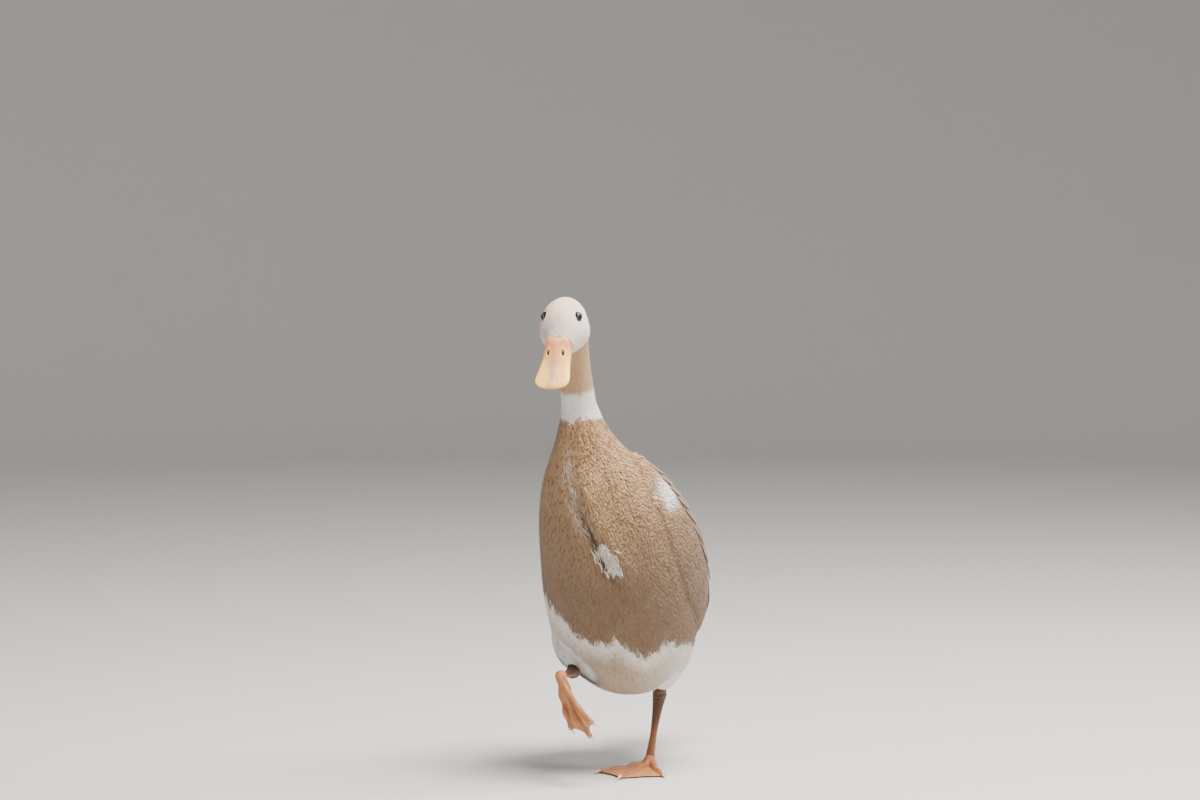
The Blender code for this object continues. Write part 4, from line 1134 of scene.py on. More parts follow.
def build_eyes(look):
    """Eyeballs, a pole of each pointing outwards, and an oval ring of lid round each:
    reach = radius + thickness cos(small angle), longer ahead than high, with fine folds."""
    wet, nodes, _links = new_material("eye")
    shader = nodes["Principled BSDF"]
    shader.inputs["Base Color"].default_value = (0.006, 0.005, 0.005, 1)
    shader.inputs["Roughness"].default_value = 0.06
    shader.inputs["Specular IOR Level"].default_value = 0.35
    skin, nodes, links = new_material("lid")
    shader = nodes["Principled BSDF"]
    shader.inputs["Base Color"].default_value = (*look.lid, 1)
    shader.inputs["Roughness"].default_value = 0.55
    relief(nodes, links, noise_node(nodes, links, 1800.0), 0.0002)
    for name, side in (("left", 1), ("right", -1)):
        polar = np.linspace(0.02, np.pi - 0.02, 30)[:, None]
        turn = np.linspace(0, 2 * np.pi, 48, endpoint=False)
        round_it = look.radius * np.sin(polar)
        out = look.radius * np.cos(polar) + 0 * turn
        ball = by_eye(side, out, round_it * np.cos(turn), round_it * np.sin(turn))
        dress(shell(f"eye_ball_{name}", ball), wet, f"eye_{name}", slot="eye_glass")
        around = np.linspace(0, 2 * np.pi, 96, endpoint=False)[:, None]
        small = np.linspace(0, 2 * np.pi, 16, endpoint=False)[None]
        thick = LID_THICKNESS + 0.00006 * np.cos(24 * around)
        reach = LID_REACH + thick * np.cos(small)
        out = LID_OUT + thick * np.sin(small)
        ring = by_eye(side, out, reach * np.cos(around) * 1.04, reach * np.sin(around) * 0.98)
        lid = mesh_object(f"eye_lid_{name}", ring.reshape(-1, 3), grid_faces(96, 16, closed=True))
        outward(lid)
        dress(lid, skin, slot="pale_feather")


TUFT_WISPS = 420


def build_tuft(look):
    """The white tuft of the breast's parting: curved wisps from its lower end, each root + lie
    length s, rising to its height and curling out, and some thin ones along its upper part."""
    rng = np.random.default_rng(look.seed + 5)
    low = rng.random(TUFT_WISPS) > 0.12
    share = np.where(low, rng.uniform(0.332, 0.392, TUFT_WISPS), rng.uniform(0.13, 0.31, TUFT_WISPS))
    line = np.interp(share, PARTING[:, 0], PARTING[:, 1])
    aside = np.where(low, rng.normal(-1.6, 3.4, TUFT_WISPS), rng.normal(3.6, 2.6, TUFT_WISPS))
    turn = np.radians(line + aside)
    roots = trunk(share, turn, -0.001)
    normals = unit(trunk(share, turn, 0.001) - roots)
    ahead = np.interp(share + 0.06, PARTING[:, 0], PARTING[:, 1])
    way = trunk(share + 0.04, np.radians(ahead + 0.6 * aside), 0.0) - roots
    lie = unit(unit(way) + np.cross(normals, unit(way)) * rng.normal(0.0, 0.42, (TUFT_WISPS, 1)))
    lie = unit(lie - normals * (lie * normals).sum(axis=1, keepdims=True))
    length = np.where(low, rng.uniform(0.0060, 0.0125, TUFT_WISPS), rng.uniform(0.007, 0.011, TUFT_WISPS))
    width = np.where(low, rng.uniform(0.0009, 0.0017, TUFT_WISPS), rng.uniform(0.0007, 0.0011, TUFT_WISPS))
    high = np.where(low, rng.uniform(0.0020, 0.0075, TUFT_WISPS), 0.0024)
    drop = np.where(low, rng.uniform(-0.0042, 0.0006, TUFT_WISPS), -0.0006)
    flat = np.full(TUFT_WISPS, 0.02)
    verts, faces, vane, soft = tufts(roots, lie, normals, length, width, 0 * flat, high, drop, flat)
    mixed = np.where(low, rng.uniform(0.10, 0.65, TUFT_WISPS), rng.uniform(0.35, 0.8, TUFT_WISPS))
    colours = over(np.array(look.white), np.array(look.fawn), mixed)
    colours = colours * rng.uniform(0.70, 1.0, (TUFT_WISPS, 1))
    patch = 0.02 + 0.96 * np.stack([turn / (2 * np.pi), row_of(share) / BODY_LAST], -1)
    coat = feather_material("tuft_feather", look)
    made = feather_object("breast_tuft", verts, faces, vane, colours, 0 * flat, patch, soft)
    dress(made, coat, slot="white_feather")


# Rows of wing quills: count, start shares, start turns, end shares, end turns, lifts above
# the wing, width, and how white: 1 for flight feathers, 0 for coverts. Shares and turns go
# from the row's lowest quill to its highest, lifts from a quill's root to its tip, and turns
# are degrees from the back.
WING_TIERS = (
    (10, (0.54, 0.51), (65, 42), (0.78, 0.72), (36, 19), (-0.0008, 0.0014), 0.0150, 1.0),
    (11, (0.50, 0.49), (67, 32), (0.70, 0.76), (61, 21), (-0.0005, 0.0018), 0.0165, 0.8),
    (8, (0.47, 0.46), (67, 30), (0.60, 0.66), (62, 23), (-0.0002, 0.0021), 0.0150, 0.0),
    (8, (0.43, 0.42), (68, 31), (0.535, 0.585), (64, 25), (0.0000, 0.0023), 0.0136, 0.0),
    (9, (0.39, 0.38), (69, 32), (0.475, 0.520), (64, 27), (0.0000, 0.0024), 0.0122, 0.0),
    (9, (0.35, 0.34), (68, 32), (0.425, 0.460), (65, 29), (0.0001, 0.0025), 0.0110, 0.0),
    (10, (0.315, 0.305), (68, 33), (0.380, 0.410), (66, 31), (0.0001, 0.0026), 0.0100, 0.0),
    (9, (0.285, 0.275), (67, 35), (0.342, 0.366), (65, 33), (0.0002, 0.0026), 0.0094, 0.0),
    (9, (0.255, 0.245), (66, 37), (0.306, 0.326), (65, 36), (0.0002, 0.0027), 0.0088, 0.0),
    (8, (0.230, 0.222), (64, 40), (0.273, 0.290), (63, 39), (0.0002, 0.0027), 0.0082, 0.0),
    (6, (0.44, 0.60), (31, 18), (0.60, 0.72), (27, 13), (0.0006, 0.0028), 0.0168, 0.0),
    (7, (0.36, 0.54), (33, 19), (0.50, 0.66), (29, 14), (0.0007, 0.0030), 0.0162, 0.0),
    (7, (0.29, 0.46), (35, 20), (0.42, 0.58), (31, 15), (0.0008, 0.0032), 0.0150, 0.0),
    (7, (0.23, 0.38), (36, 22), (0.34, 0.50), (33, 17), (0.0009, 0.0034), 0.0136, 0.0),
)
# Fans of tail feathers: pairs, length, root, lift, spread in degrees, width, stack, white.
TAIL_FANS = (
    (7, 0.0900, 0.030, 0.0000, 17, 0.0150, 0.00075, 0.0),
    (5, 0.0640, 0.012, 0.0048, 15, 0.0160, 0.00070, 0.0),
    (4, 0.0440, 0.000, 0.0085, 13, 0.0150, 0.00060, 0.0),
)
QUILL_STEPS = 26
QUILL_COLUMNS = 11
QUILL_THICKNESS = 0.0005
SHAFT_RIDGE = 0.00045


def quills(spine, out, across, width, lead, rng):
    """Long feathers as closed blades. Half width at share s of the length:
    0.5 w min(0.55 + 1.5 s, 1) sqrt(1 - ((s - 0.6) / 0.4)^2.4), split by a few narrow notches;
    offset x + 0.16 lead x^2; height: a shaft ridge less a camber x^2."""
    s = np.linspace(0, 1, spine.shape[1])
    x = np.linspace(-1, 1, QUILL_COLUMNS)
    tip = np.sqrt(np.maximum(1 - np.maximum((s - 0.60) / 0.40, 0) ** 2.4, 0.012))
    half = 0.5 * width[:, None] * np.minimum(0.55 + 1.5 * s, 1) * tip
    left, right = np.ones_like(half), np.ones_like(half)
    for edge in (left, right):
        for _notch in range(2):
            place = rng.uniform(0.45, 0.95, (len(half), 1))
            edge -= rng.uniform(0.0, 0.12, (len(half), 1)) * bell(s - place, 0.016)
    edges = np.where(x < 0, left[..., None], right[..., None])
    offset = half[..., None] * edges * (x + 0.16 * lead[:, None, None] * x**2)
    ridge = SHAFT_RIDGE * (1 - 0.7 * s)[:, None] * bell(x, 0.13)
    height = ridge - 0.10 * np.abs(offset) * np.abs(x)
    top = spine[:, :, None] + across[:, :, None] * offset[..., None]
    top = top + out[:, :, None] * height[..., None]
    below = top[:, 1:-1, 1:-1] - out[:, 1:-1, None] * QUILL_THICKNESS
    steps, columns = len(s), len(x)
    index = np.arange(steps * columns).reshape(steps, columns)
    under = index.copy()
    inner = (steps - 2, columns - 2)
    under[1:-1, 1:-1] = steps * columns + np.arange(inner[0] * inner[1]).reshape(inner)

    def quads(grid):
        return np.stack([grid[:-1, :-1], grid[:-1, 1:], grid[1:, 1:], grid[1:, :-1]], -1).reshape(-1, 4)

    faces = np.concatenate([quads(index)[:, ::-1], quads(under)])
    verts = np.concatenate([top.reshape(len(spine), -1, 3), below.reshape(len(spine), -1, 3)], 1)
    uv = np.stack([0.5 + 0.5 * x + 0 * s[:, None], s[:, None] + 0 * x], -1)
    uv = np.concatenate([uv.reshape(-1, 2), uv[1:-1, 1:-1].reshape(-1, 2)])
    return verts, faces, uv


def quill_colours(count, uv, whiteness, look, rng):
    """Fawn blades with paler edges and tips, or white ones with a fawn-grey root."""
    fawn, deep, white = (np.array(colour) for colour in (look.fawn, look.deep_fawn_and_shade, look.white))
    # The blades start from the deep fawn, which holds painted shade.
    base = deep * 0.94 + 0 * rng.random((count, 1))
    base = base * rng.normal(1.0, 0.05, (count, 1))
    edge = np.maximum(np.abs(2 * uv[:, 0] - 1) ** 5, ramp(uv[:, 1], 0.90, 1.0))[None, :, None]
    tone = base[:, None] * (1 - 0.5 * edge) + (0.5 * fawn + 0.5 * white) * 0.5 * edge
    pale = white * (0.93 + 0.07 * ramp(uv[:, 1], 0.2, 0.6))[:, None]
    pale = pale * rng.normal(1.0, 0.02, (count, 1, 1))
    share = np.asarray(whiteness)[:, None, None]
    return np.clip(tone * (1 - share) + pale * share, 0, 1)


def quill_material(name, look):
    """Fine barbs, and a thin dark shaft nearly from the root."""
    return feather_material(name, look, 430.0, (0.055, 0.02), (0.02, 0.10))


def quill_piece(name, batches, faces, vane, cover, node):
    """Joins batches of quills, with their colours, marks and places on the bake's map."""
    verts, colours, marks, places = (np.concatenate(part) for part in zip(*batches))
    made = feather_object(name, verts, faces, vane, colours, marks, places)
    dress(made, cover, node, slot="fawn_feather")


def build_wings(look):
    """Quills of both folded wings: each runs over the trunk from (share, turn) to (share,
    turn), rises from its low lift to its high one, and leans over its lower neighbour."""
    cover = quill_material("quill", look)
    s = np.linspace(0, 1, QUILL_STEPS)
    for name, side in (("left", 1), ("right", -1)):
        rng = np.random.default_rng(look.seed + 2 + side)
        batches = []
        for count, starts, start_turns, ends, end_turns, lifts, width, white in WING_TIERS:
            step = np.linspace(0, 1, count)[:, None]
            uneven = rng.uniform(-1, 1, (count, 1))
            share = between((between(starts, step), between(ends, step) + 0.006 * uneven), s)
            degrees = between((between(start_turns, step), between(end_turns, step)), s)
            turn = side * np.radians(degrees + 1.5 * np.sin(np.pi * s))
            rise = between(lifts, s) + 0.0003 * step
            lift = wing_height(share, np.degrees(np.abs(turn))) + rise
            spine = trunk(share, turn, lift)
            out = unit(trunk(share, turn, lift + 0.001) - spine)
            along = unit(np.gradient(spine, axis=1))
            across = unit(np.cross(out, along))
            tilt = -side * (0.06 if white == 1.0 else 0.10)
            leaned = across * math.cos(tilt) + out * math.sin(tilt)
            out = out * math.cos(tilt) - across * math.sin(tilt)
            wide = width * rng.uniform(0.94, 1.06, count)
            verts, faces, vane = quills(spine, out, leaned, wide, np.full(count, side * 1.0), rng)
            whiteness = np.full(count, white)
            if 0 < white < 1:
                whiteness = 1 - ramp(step[:, 0], 0.55, 0.62)
            colours = quill_colours(count, vane, whiteness, look, rng)
            places = np.stack([np.degrees(turn[:, 0]) % 360 / 360, share[:, 0]], -1)
            batches.append((verts, colours, 0.55 * (1 - whiteness) + 0.10, 0.02 + 0.96 * places))
        quill_piece(f"wing_{name}_quills", batches, faces, vane, cover, f"wing_{name}")


def build_tail(look):
    """Fans of tail feathers: a pair at angle spread (k + 0.5) / pairs either side, each pair
    lower and shorter than the one inside it, with tips curling up by curl s^2."""
    cover = quill_material("tail_quill", look)
    rng = np.random.default_rng(look.seed + 9)
    matrix = tail_frame()[:3, :3]
    s = np.linspace(0, 1, QUILL_STEPS)
    batches = []
    for pairs, length, root, lift, spread, width, stack, white in TAIL_FANS:
        k = np.repeat(np.arange(pairs), 2)[:, None]
        side = np.tile((1.0, -1.0), pairs)[:, None]
        angle = side * math.radians(spread) * (k + 0.5) / pairs
        reach = root + (length * (1 - 0.18 * k / pairs) - root) * s
        low = stack * (2 * k + (side < 0))
        high = lift + 2 * stack - low + 0.004 * s**2
        spine = np.stack([side * 0.0012 * k + reach * np.sin(angle), reach * np.cos(angle), high], -1)
        across = np.stack([np.cos(angle), -np.sin(angle), 0 * angle], -1) + 0 * spine
        up = np.array((0.0, 0.0, 1.0)) + 0 * spine
        wide = width * rng.uniform(0.95, 1.05, 2 * pairs)
        verts, faces, vane = quills(
            in_tail(spine), up @ matrix.T, across @ matrix.T, wide, side[:, 0], rng
        )
        colours = quill_colours(2 * pairs, vane, np.full(2 * pairs, white), look, rng)
        places = np.stack([0.5 + 0.4 * angle[:, 0], 0.02 + 0.1 * k[:, 0] / pairs], -1)
        batches.append((verts, colours, np.full(2 * pairs, 0.55), places))
    quill_piece("tail_fan", batches, faces, vane, cover, "tail")


SHANK_RADII = (0.0052, 0.0060, 0.0072, 0.0052, 0.0035, 0.0041, 0.0050)
PALM_RADIUS = 0.0060
SOLE_HEIGHT = 0.0045
SOLE_RADIUS = 0.0075
# Toes: turn outwards from the middle one when standing and when lifted, and length.
TOES = ((0.0, 0.0, 0.074), (-32.0, -13.0, 0.062), (38.0, 13.0, 0.058))
CLAW = 0.0085
CLAW_RADIUS = 0.0021
TOE_RADIUS = 0.0036
WEB_THICKNESS = 0.0015
WEB_HEIGHT = 0.0018
ANKLE_RISE = 0.0055
LIFTED_DROOP = (math.radians(-65), math.radians(-140))
LIFTED_HEADING = -0.20
LIFTED_LEAN = math.radians(25)
FOOT_VOXEL = 0.00062
# Distances from scute to scute down a shank, from fold to fold over a hock, and from scute to
# scute along a toe.
SCUTE_STEP = 0.0026
FOLD_STEP = 0.0042
TOE_SCUTE_STEP = 0.0024


class DuckLegs(bpy.types.PropertyGroup):
    skin: FloatVectorProperty(
        name="Leg skin", description="Brownish orange of shanks and toes", subtype="COLOR",
        size=3, min=0, max=1, default=(0.44, 0.165, 0.055),
    )
    web: FloatVectorProperty(
        name="Web", description="Lighter orange of the webs", subtype="COLOR",
        size=3, min=0, max=1, default=(0.58, 0.24, 0.080),
    )
    crease: FloatVectorProperty(
        name="Crease", description="Dark lines between the scales", subtype="COLOR",
        size=3, min=0, max=1, default=(0.20, 0.075, 0.030),
    )
    claw: FloatVectorProperty(
        name="Claw", description="Pale horn of the claws", subtype="COLOR",
        size=3, min=0, max=1, default=(0.74, 0.56, 0.46),
    )


def leg_material(look):
    """Colour from the tone attribute, small scales by a cell pattern with sunk creases."""
    made, nodes, links = new_material("leg_skin")
    shader = nodes["Principled BSDF"]
    shader.inputs["Roughness"].default_value = 0.46
    shader.inputs["Subsurface Weight"].default_value = 0.08
    shader.inputs["Subsurface Radius"].default_value = (1.0, 0.4, 0.2)
    shader.inputs["Subsurface Scale"].default_value = 0.0015
    colour = attribute_node(nodes, "tone")
    place = nodes.new("ShaderNodeTexCoord")
    cells = nodes.new("ShaderNodeTexVoronoi")
    cells.feature = "DISTANCE_TO_EDGE"
    cells.inputs["Scale"].default_value = 900.0
    links.new(place.outputs["Object"], cells.inputs["Vector"])
    width = nodes.new("ShaderNodeMapRange")
    width.inputs["From Max"].default_value = 0.14
    links.new(cells.outputs["Distance"], width.inputs["Value"])
    lined = nodes.new("ShaderNodeMix")
    lined.data_type = "RGBA"
    lined.inputs["A"].default_value = (*look.crease, 1)
    links.new(width.outputs["Result"], lined.inputs["Factor"])
    links.new(colour.outputs["Color"], lined.inputs["B"])
    part = nodes.new("ShaderNodeMix")
    part.data_type = "RGBA"
    part.inputs["Factor"].default_value = 0.38
    links.new(colour.outputs["Color"], part.inputs["A"])
    links.new(lined.outputs["Result"], part.inputs["B"])
    cloudy = tinted(nodes, links, part.outputs["Result"], noise_node(nodes, links, 220.0), 0.82, 1.14)
    links.new(cloudy, shader.inputs["Base Color"])
    relief(nodes, links, width.outputs["Result"], 0.0003, 0.34)
    return made


def ridges(along, step, width, place=0.5):
    """A bell of that width at that place of every step along."""
    return bell((along / step) % 1 - place, width)


def on_hock(along):
    return bell(along - 0.012, 0.010)


def ankle_rise(share):
    """Rise of toes and webs near the joint: rise (1 - s / 0.55)^2, and none from 0.55 on."""
    return ANKLE_RISE * (1 - np.clip(share / 0.55, 0, 1)) ** 2


def shank_tone(along, front, look):
    """Leg colour with dark lines between scutes, darkened towards the hock as painted shade under the
    body: along in metres down the shank, front 0 to 1.
    """
    line = ridges(along, SCUTE_STEP, 0.10) * front
    hock = on_hock(along)
    ring = ridges(along, FOLD_STEP, 0.13) * hock
    skin, crease = np.array(look.skin), np.array(look.crease)
    # Painted shade: the shank darkens towards the hock, under the body.
    base = skin * (0.20 + 0.42 * ramp(along, 0.030, 0.074))[..., None]
    mask = np.clip(0.6 * line * (1 - hock) + 0.4 * ring, 0, 1)[..., None]
    pale = ridges(along, FOLD_STEP, 0.10, 0.08) * hock
    return base * (1 - mask) + 0.7 * crease * mask + 0.08 * pale[..., None] * np.array(look.claw)


def build_shanks(look, leather):
    """Shanks: radii down the bones, a section 1 + 0.07 cos 2a, scutes as ridges across the
    front and three strong folds over the hock."""
    for name, (knee, hock, toes) in LEGS.items():
        knee, hock, toes = np.array(knee), np.array(hock), np.array(toes)
        edge = hock * 0.80 + knee * 0.20
        stops = [edge, hock * 0.55 + edge * 0.45, hock]
        stops += [hock * (1 - s) + toes * s for s in (0.20, 0.55, 0.85, 1.0)]
        rows = np.column_stack([[at(stop) for stop in stops], SHANK_RADII])
        rows = smooth(rows, np.linspace(0, len(stops) - 1, 260))
        points, radius = rows[:, :3], rows[:, 3]
        steps = np.linalg.norm(np.diff(points, axis=0), axis=1)
        along = np.concatenate([[0], np.cumsum(steps)])[:, None]
        turn = np.linspace(0, 2 * np.pi, 48, endpoint=False)
        front = ramp(np.sin(turn), -0.1, 0.6)[None]
        fold = on_hock(along)
        scute = -ridges(along, SCUTE_STEP, 0.10) * front * 0.00022 * (1 - fold)
        rings = -ridges(along, FOLD_STEP, 0.16) * fold * 0.00055
        reach = radius[:, None] * (1 + 0.07 * np.cos(2 * turn)) + scute + rings
        made = shell(f"shank_{name}_skin", tube_rings(points, reach, 48))
        tone = shank_tone(along + 0 * turn, front + 0 * along, look).reshape(-1, 3)
        paint(made, "tone", np.concatenate([tone, tone[:1], tone[-1:]]))
        dress(made, leather, f"shank_{name}", slot="leg_skin")


def foot_place(joint, grounded):
    """Bends a foot drawn flat (side, ahead, height) to its pose about the toe joint: standing
    it stays flat; lifted it curls down along an arc from one droop angle to the other."""
    first, last = LIFTED_DROOP
    longest = TOES[0][2] + CLAW

    def place(points):
        points = np.array(points, float)
        if grounded:
            points[..., 2] = np.maximum(points[..., 2], 0)
            side, ahead, high = points[..., 0], points[..., 1], points[..., 2] - joint[2]
            heading, lean = 0.0, 0.0
        else:
            reach = np.maximum(points[..., 1], 0)
            rate = (last - first) / longest
            angle = first + (last - first) * np.clip(reach / longest, 0, 1)
            slack = points[..., 1] - reach
            up = points[..., 2] - PALM_RADIUS
            side = points[..., 0]
            ahead = (np.sin(angle) - math.sin(first)) / rate + slack * math.cos(first)
            ahead = ahead - up * np.sin(angle)
            high = -(np.cos(angle) - math.cos(first)) / rate + slack * math.sin(first)
            high = high + up * np.cos(angle)
            heading, lean = LIFTED_HEADING, LIFTED_LEAN
        leaned = side * math.cos(lean) - high * math.sin(lean)
        high = side * math.sin(lean) + high * math.cos(lean)
        x = leaned * math.cos(heading) + ahead * math.sin(heading)
        y = leaned * math.sin(heading) - ahead * math.cos(heading)
        return np.stack([x, y, high], -1) + at(joint)

    return place


def ball_rings(centre, radii, rows=24, sides=36):
    polar = np.linspace(0.03, np.pi - 0.03, rows)[:, None]
    turn = np.linspace(0, 2 * np.pi, sides, endpoint=False)
    x, y = np.sin(polar) * np.cos(turn), np.sin(polar) * np.sin(turn)
    ball = np.stack([x, y, np.cos(polar) + 0 * turn], -1)
    return np.asarray(centre) + ball * np.asarray(radii)


def web_rings(first, second, place):
    """The skin between two toes: a fan from the joint whose front edge is scooped, thin, with
    folds that run out from the joint and a slight sag in the middle."""
    v = np.linspace(0.06, 0.985, 70)[:, None]
    u = np.linspace(0, 1, 46)[None]
    reach = v * (1 - 0.05 * np.sin(np.pi * u) * v)
    flat = first[0] * ((1 - u) * first[1] * reach)[..., None]
    flat = flat + second[0] * (u * second[1] * reach)[..., None]
    folds = 0.00022 * np.cos(2 * np.pi * 7 * u) * np.sin(np.pi * u) * ramp(v, 0.1, 0.5)
    middle = WEB_HEIGHT + ankle_rise(v) + folds
    thick = 0.5 * WEB_THICKNESS * (1 - 0.25 * np.sin(np.pi * u))
    top, low = flat.copy(), flat.copy()
    top[..., 2], low[..., 2] = middle + thick, middle - thick
    return place(np.concatenate([top, low[:, ::-1]], 1))


def build_feet(look, leather):
    """Webbed feet: jointed toes with scutes, webs, palm, hind toe and sole merged to one
    surface, then claws: horn cones that bend down, pale above and darker below as painted shade."""
    horn = horn_material("claw", 0.35, 900.0, 0.0001, 0.1)
    for name, (_knee, _hock, joint) in LEGS.items():
        grounded = name == "left"
        inward = 1 if grounded else -1
        place = foot_place(joint, grounded)
        s = np.linspace(0, 1, 150)
        parts, lines, paths, claws = [], [], [], []
        for standing, lifted, length in TOES:
            angle = math.radians(standing if grounded else lifted)
            way = np.array((inward * math.sin(angle), math.cos(angle), 0.0))
            knuckle = 1 + 0.16 * np.cos(2 * np.pi * 3 * s)
            radius = TOE_RADIUS * (1 - 0.32 * s) * knuckle
            high = radius * 0.86 + ankle_rise(s)
            path = way * (s * length)[:, None] + np.stack([0 * s, 0 * s, high], -1)
            scute = 1 - 0.055 * ridges(s * length, TOE_SCUTE_STEP, 0.14)
            parts.append(shell("core", place(tube_rings(path, radius * scute, 32))))
            paths.append(place(path))
            lines.append((way, length))
            u = np.linspace(0, 1, 24)
            path = way * (length - 0.003 + u * (CLAW + 0.003))[:, None]
            path = path + np.stack([0 * u, 0 * u, 0.0032 - 0.0025 * u**1.6], -1)
            claws.append(tube_rings(path, CLAW_RADIUS * (1 - 0.88 * u**1.3), 20))
        for first, second in ((lines[1], lines[0]), (lines[0], lines[2])):
            parts.append(shell("core", web_rings(first, second, place)))
        parts.append(shell("core", ball_rings(at(joint), 3 * (PALM_RADIUS,))))
        if grounded:
            pad = ball_rings((joint[0], -joint[1], SOLE_HEIGHT), SOLE_RADIUS * np.array((1, 1.1, 0.75)))
            pad[..., 2] = np.maximum(pad[..., 2], 0.0003)
            parts.append(shell("core", pad))
            hind = ((0.0, -0.002, 0.0085), (-0.0015, -0.010, 0.0062), (-0.003, -0.018, 0.004))
        else:
            hind = ((0.0, 0.003, 0.001), (0.0015, 0.008, -0.0045), (0.003, 0.013, -0.010))
        track = smooth(np.array(hind) * (inward, 1, 1), np.linspace(0, 2, 40))
        thin = 0.0030 * (1 - 0.6 * np.linspace(0, 1, 40) ** 2)
        parts.append(shell("core", place(tube_rings(track, thin, 24))))
        foot = merge_shells(f"foot_{name}_skin", parts, FOOT_VOXEL, 2)
        paint_foot(foot, paths, s, np.array([line[1] for line in lines]), look)
        dress(foot, leather, f"foot_{name}", slot="leg_skin")
        for number, rings in enumerate(claws):
            made = shell(f"claw_{name}_{number + 1}", place(rings))
            paint_claw(made, *rings.shape[:2], look)
            dress(made, horn, slot="leg_skin")


def paint_foot(foot, paths, shares, lengths, look):
    """Toes in the leg's colour with dark lines between scutes, webs in theirs: each point goes
    by the nearest place of the toes' paths, which have a point at each of the shares."""
    points, _tris = mesh_arrays(foot)
    each = len(shares)
    tree = KDTree(len(paths) * each)
    for number, path in enumerate(paths):
        for step, point in enumerate(path):
            tree.insert(point, number * each + step)
    tree.balance()
    found = [tree.find(point) for point in points]
    near = np.array([hit[2] for hit in found])
    step = np.array([hit[1] for hit in found])
    reach = shares[step % each] * lengths[step // each]
    on_toe = 1 - ramp(near, 0.0036, 0.0052)
    line = ridges(reach, TOE_SCUTE_STEP, 0.12) * on_toe * 0.55
    skin, web, crease = (np.array(colour) for colour in (look.skin, look.web, look.crease))
    tone = over(web, skin, on_toe)
    tone = tone * (1 + 0.10 * ripple(points, 0.012, 31))[:, None]
    paint(foot, "tone", np.clip(over(tone, crease, line), 0, 1))


def paint_claw(claw, rows, sides, look):
    """Pale horn above, darkened below as painted shade, alike on every ring and on the middle of each end.
    """
    across = np.linspace(0, 2 * np.pi, sides, endpoint=False)
    # Painted shade: the underside of each claw is darker.
    top = ramp(np.sin(across), -0.5, 0.2)
    tone = np.tile(np.array(look.claw) * (0.14 + 0.86 * top)[:, None], (rows, 1))
    paint(claw, "tone", np.concatenate([tone, tone[:1], tone[-1:]]))


def floor_material():
    made, nodes, _links = new_material("floor")
    shader = nodes["Principled BSDF"]
    shader.inputs["Base Color"].default_value = (0.58, 0.575, 0.56, 1)
    shader.inputs["Roughness"].default_value = 0.85
    return made


def area_light(name, place, aim, size, power, colour=(1, 1, 1)):
    data = bpy.data.lights.new(name, "AREA")
    data.shape = "SQUARE"
    data.size = size
    data.energy = power
    data.color = colour
    lamp = bpy.data.objects.new(name, data)
    lamp.location = place
    lamp.rotation_euler = (Vector(aim) - Vector(place)).to_track_quat("-Z", "Y").to_euler()
    bpy.context.scene.collection.objects.link(lamp)


# The floor: radius of its flat part, radius of the curve up to the backdrop, and its top.
FLOOR_RADIUS = 4.4
FLOOR_CURVE = 2.0
BACKDROP_TOP = 5.0


def build_stage():
    """A pale floor that rises into a pale backdrop, soft lights from above, and the camera."""
    rise = np.linspace(0, np.pi / 2, 24)
    flat = np.linspace(0.05, FLOOR_RADIUS, 12)
    curve = FLOOR_RADIUS + FLOOR_CURVE * np.sin(rise[1:])
    reach = np.concatenate([flat, curve, [FLOOR_RADIUS + FLOOR_CURVE]])[:, None]
    height = np.concatenate([0 * flat, FLOOR_CURVE - FLOOR_CURVE * np.cos(rise[1:]), [BACKDROP_TOP]])
    turn = np.linspace(0, 2 * np.pi, 96, endpoint=False)
    x, y = reach * np.cos(turn), reach * np.sin(turn)
    bowl = np.stack([x, y, height[:, None] + 0 * turn], -1)
    verts = np.concatenate([bowl.reshape(-1, 3), [(0, 0, 0)]])
    column = np.arange(96)
    middle = np.stack([np.full(96, len(verts) - 1), column, (column + 1) % 96], -1)
    faces = grid_faces(len(reach), 96)[:, ::-1].tolist() + middle.tolist()
    floor = mesh_object("floor", verts, faces)
    floor.data.shade_smooth()
    floor.data.materials.append(floor_material())
    area_light("overhead", (0.75, -0.40, 2.3), (0, 0, 0.30), 1.1, 190, (1.0, 0.96, 0.90))
    area_light("front", (-1.6, -2.2, 1.5), (0, 0, 0.28), 1.6, 9, (1.0, 0.97, 0.93))
    area_light("back", (1.9, 1.1, 1.7), (0, 0, 0.3), 1.0, 55, (1.0, 0.97, 0.92))
    world = bpy.context.scene.world or bpy.data.worlds.new("world")
    bpy.context.scene.world = world
    world.use_nodes = True
    sky = world.node_tree.nodes["Background"]
    sky.inputs["Color"].default_value = (0.86, 0.86, 0.86, 1)
    sky.inputs["Strength"].default_value = 0.46
    data = bpy.data.cameras.new("camera")
    data.sensor_width = 36
    data.lens = CAMERA_LENS
    camera = bpy.data.objects.new("camera", data)
    camera.location = CAMERA_AT
    camera.rotation_euler = (math.pi / 2 - CAMERA_PITCH, 0, CAMERA_TURN)
    bpy.context.scene.collection.objects.link(camera)
    bpy.context.scene.camera = camera


class DUCK_OT_skin(bpy.types.Operator):
    """Adds the skin under the feathers"""

    bl_idname = "duck.skin"
    bl_label = "Skin"

    def execute(self, context):
        build_skin(context.scene.duck_plumage)
        return {"FINISHED"}


class DUCK_OT_coat(bpy.types.Operator):
    """Adds the body feathers"""

    bl_idname = "duck.coat"
    bl_label = "Body feathers"

    def execute(self, context):
        build_coat(context.scene.duck_plumage)
        build_tuft(context.scene.duck_plumage)
        return {"FINISHED"}


class DUCK_OT_stage(bpy.types.Operator):
    """Adds the floor, lights and camera"""

    bl_idname = "duck.stage"
    bl_label = "Stage"

    def execute(self, context):
        build_stage()
        return {"FINISHED"}


class DUCK_OT_wings(bpy.types.Operator):
    """Adds the quills of wings and tail"""

    bl_idname = "duck.wings"
    bl_label = "Wings and tail"

    def execute(self, context):
        build_wings(context.scene.duck_plumage)
        build_tail(context.scene.duck_plumage)
        return {"FINISHED"}


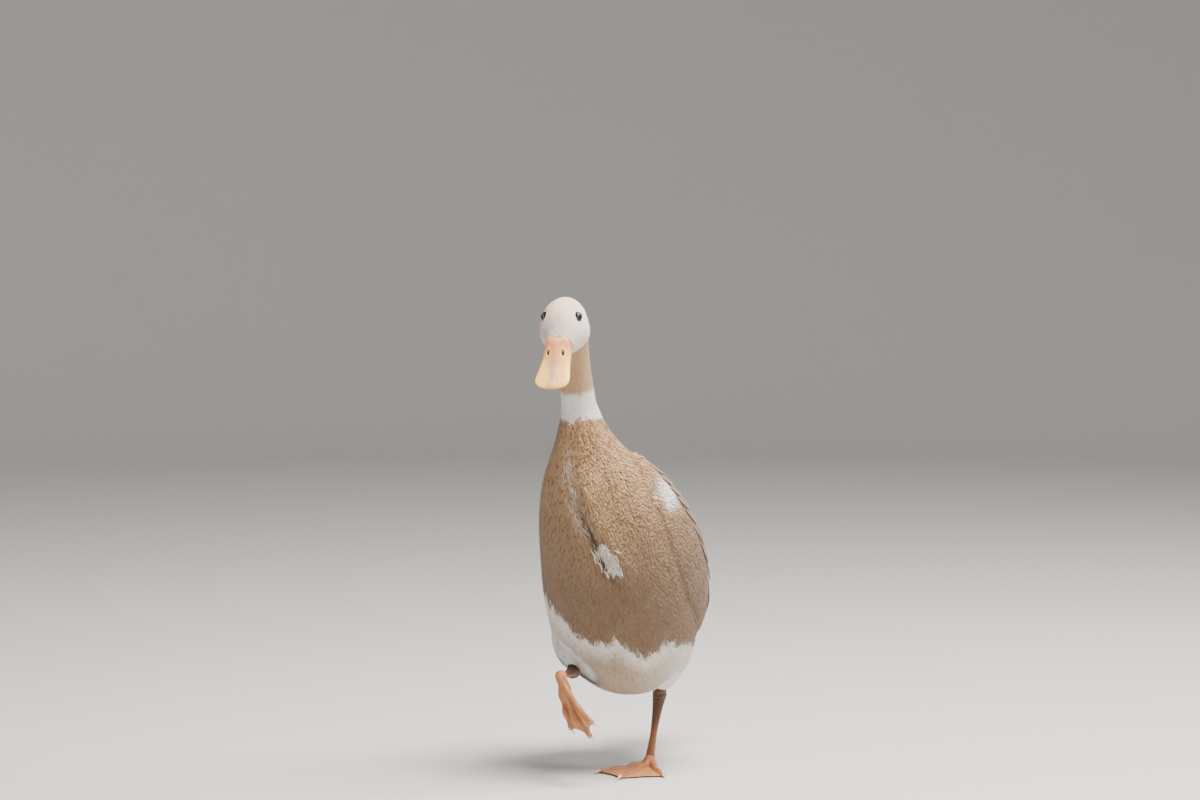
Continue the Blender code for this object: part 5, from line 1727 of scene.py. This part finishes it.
class DUCK_OT_legs(bpy.types.Operator):
    """Adds shanks, webbed feet and claws"""

    bl_idname = "duck.legs"
    bl_label = "Legs"

    def execute(self, context):
        look = context.scene.duck_legs
        leather = leg_material(look)
        build_shanks(look, leather)
        build_feet(look, leather)
        return {"FINISHED"}


class DUCK_OT_bill(bpy.types.Operator):
    """Adds the bill"""

    bl_idname = "duck.bill"
    bl_label = "Bill"

    def execute(self, context):
        build_bill(context.scene.duck_bill)
        return {"FINISHED"}


class DUCK_OT_eyes(bpy.types.Operator):
    """Adds the eyes and their lids"""

    bl_idname = "duck.eyes"
    bl_label = "Eyes"

    def execute(self, context):
        build_eyes(context.scene.duck_eye)
        return {"FINISHED"}


STEPS = (
    DUCK_OT_skin, DUCK_OT_coat, DUCK_OT_wings, DUCK_OT_bill, DUCK_OT_eyes, DUCK_OT_legs,
    DUCK_OT_stage,
)


class DUCK_PT_panel(bpy.types.Panel):
    """Lists the duck's sizes and colours and the steps that build it"""

    bl_label = "Runner duck"
    bl_idname = "DUCK_PT_panel"
    bl_space_type = "VIEW_3D"
    bl_region_type = "UI"
    bl_category = "Duck"

    def draw(self, context):
        for group in SETTINGS:
            settings = getattr(context.scene, group)
            for name in settings.bl_rna.properties.keys():
                if name not in ("rna_type", "name"):
                    self.layout.prop(settings, name)
        for step in STEPS:
            self.layout.operator(step.bl_idname)


SETTINGS = {
    "duck_plumage": DuckPlumage,
    "duck_bill": DuckBill,
    "duck_eye": DuckEye,
    "duck_legs": DuckLegs,
}


def register():
    for cls in (*SETTINGS.values(), *STEPS, DUCK_PT_panel):
        bpy.utils.register_class(cls)
    for name, group in SETTINGS.items():
        setattr(bpy.types.Scene, name, PointerProperty(type=group))


def unregister():
    for name in SETTINGS:
        delattr(bpy.types.Scene, name)
    for cls in reversed((*SETTINGS.values(), *STEPS, DUCK_PT_panel)):
        bpy.utils.unregister_class(cls)


def main():
    register()
    for step in STEPS:
        group, name = step.bl_idname.split(".")
        getattr(getattr(bpy.ops, group), name)()


if __name__ == "__main__":
    main()
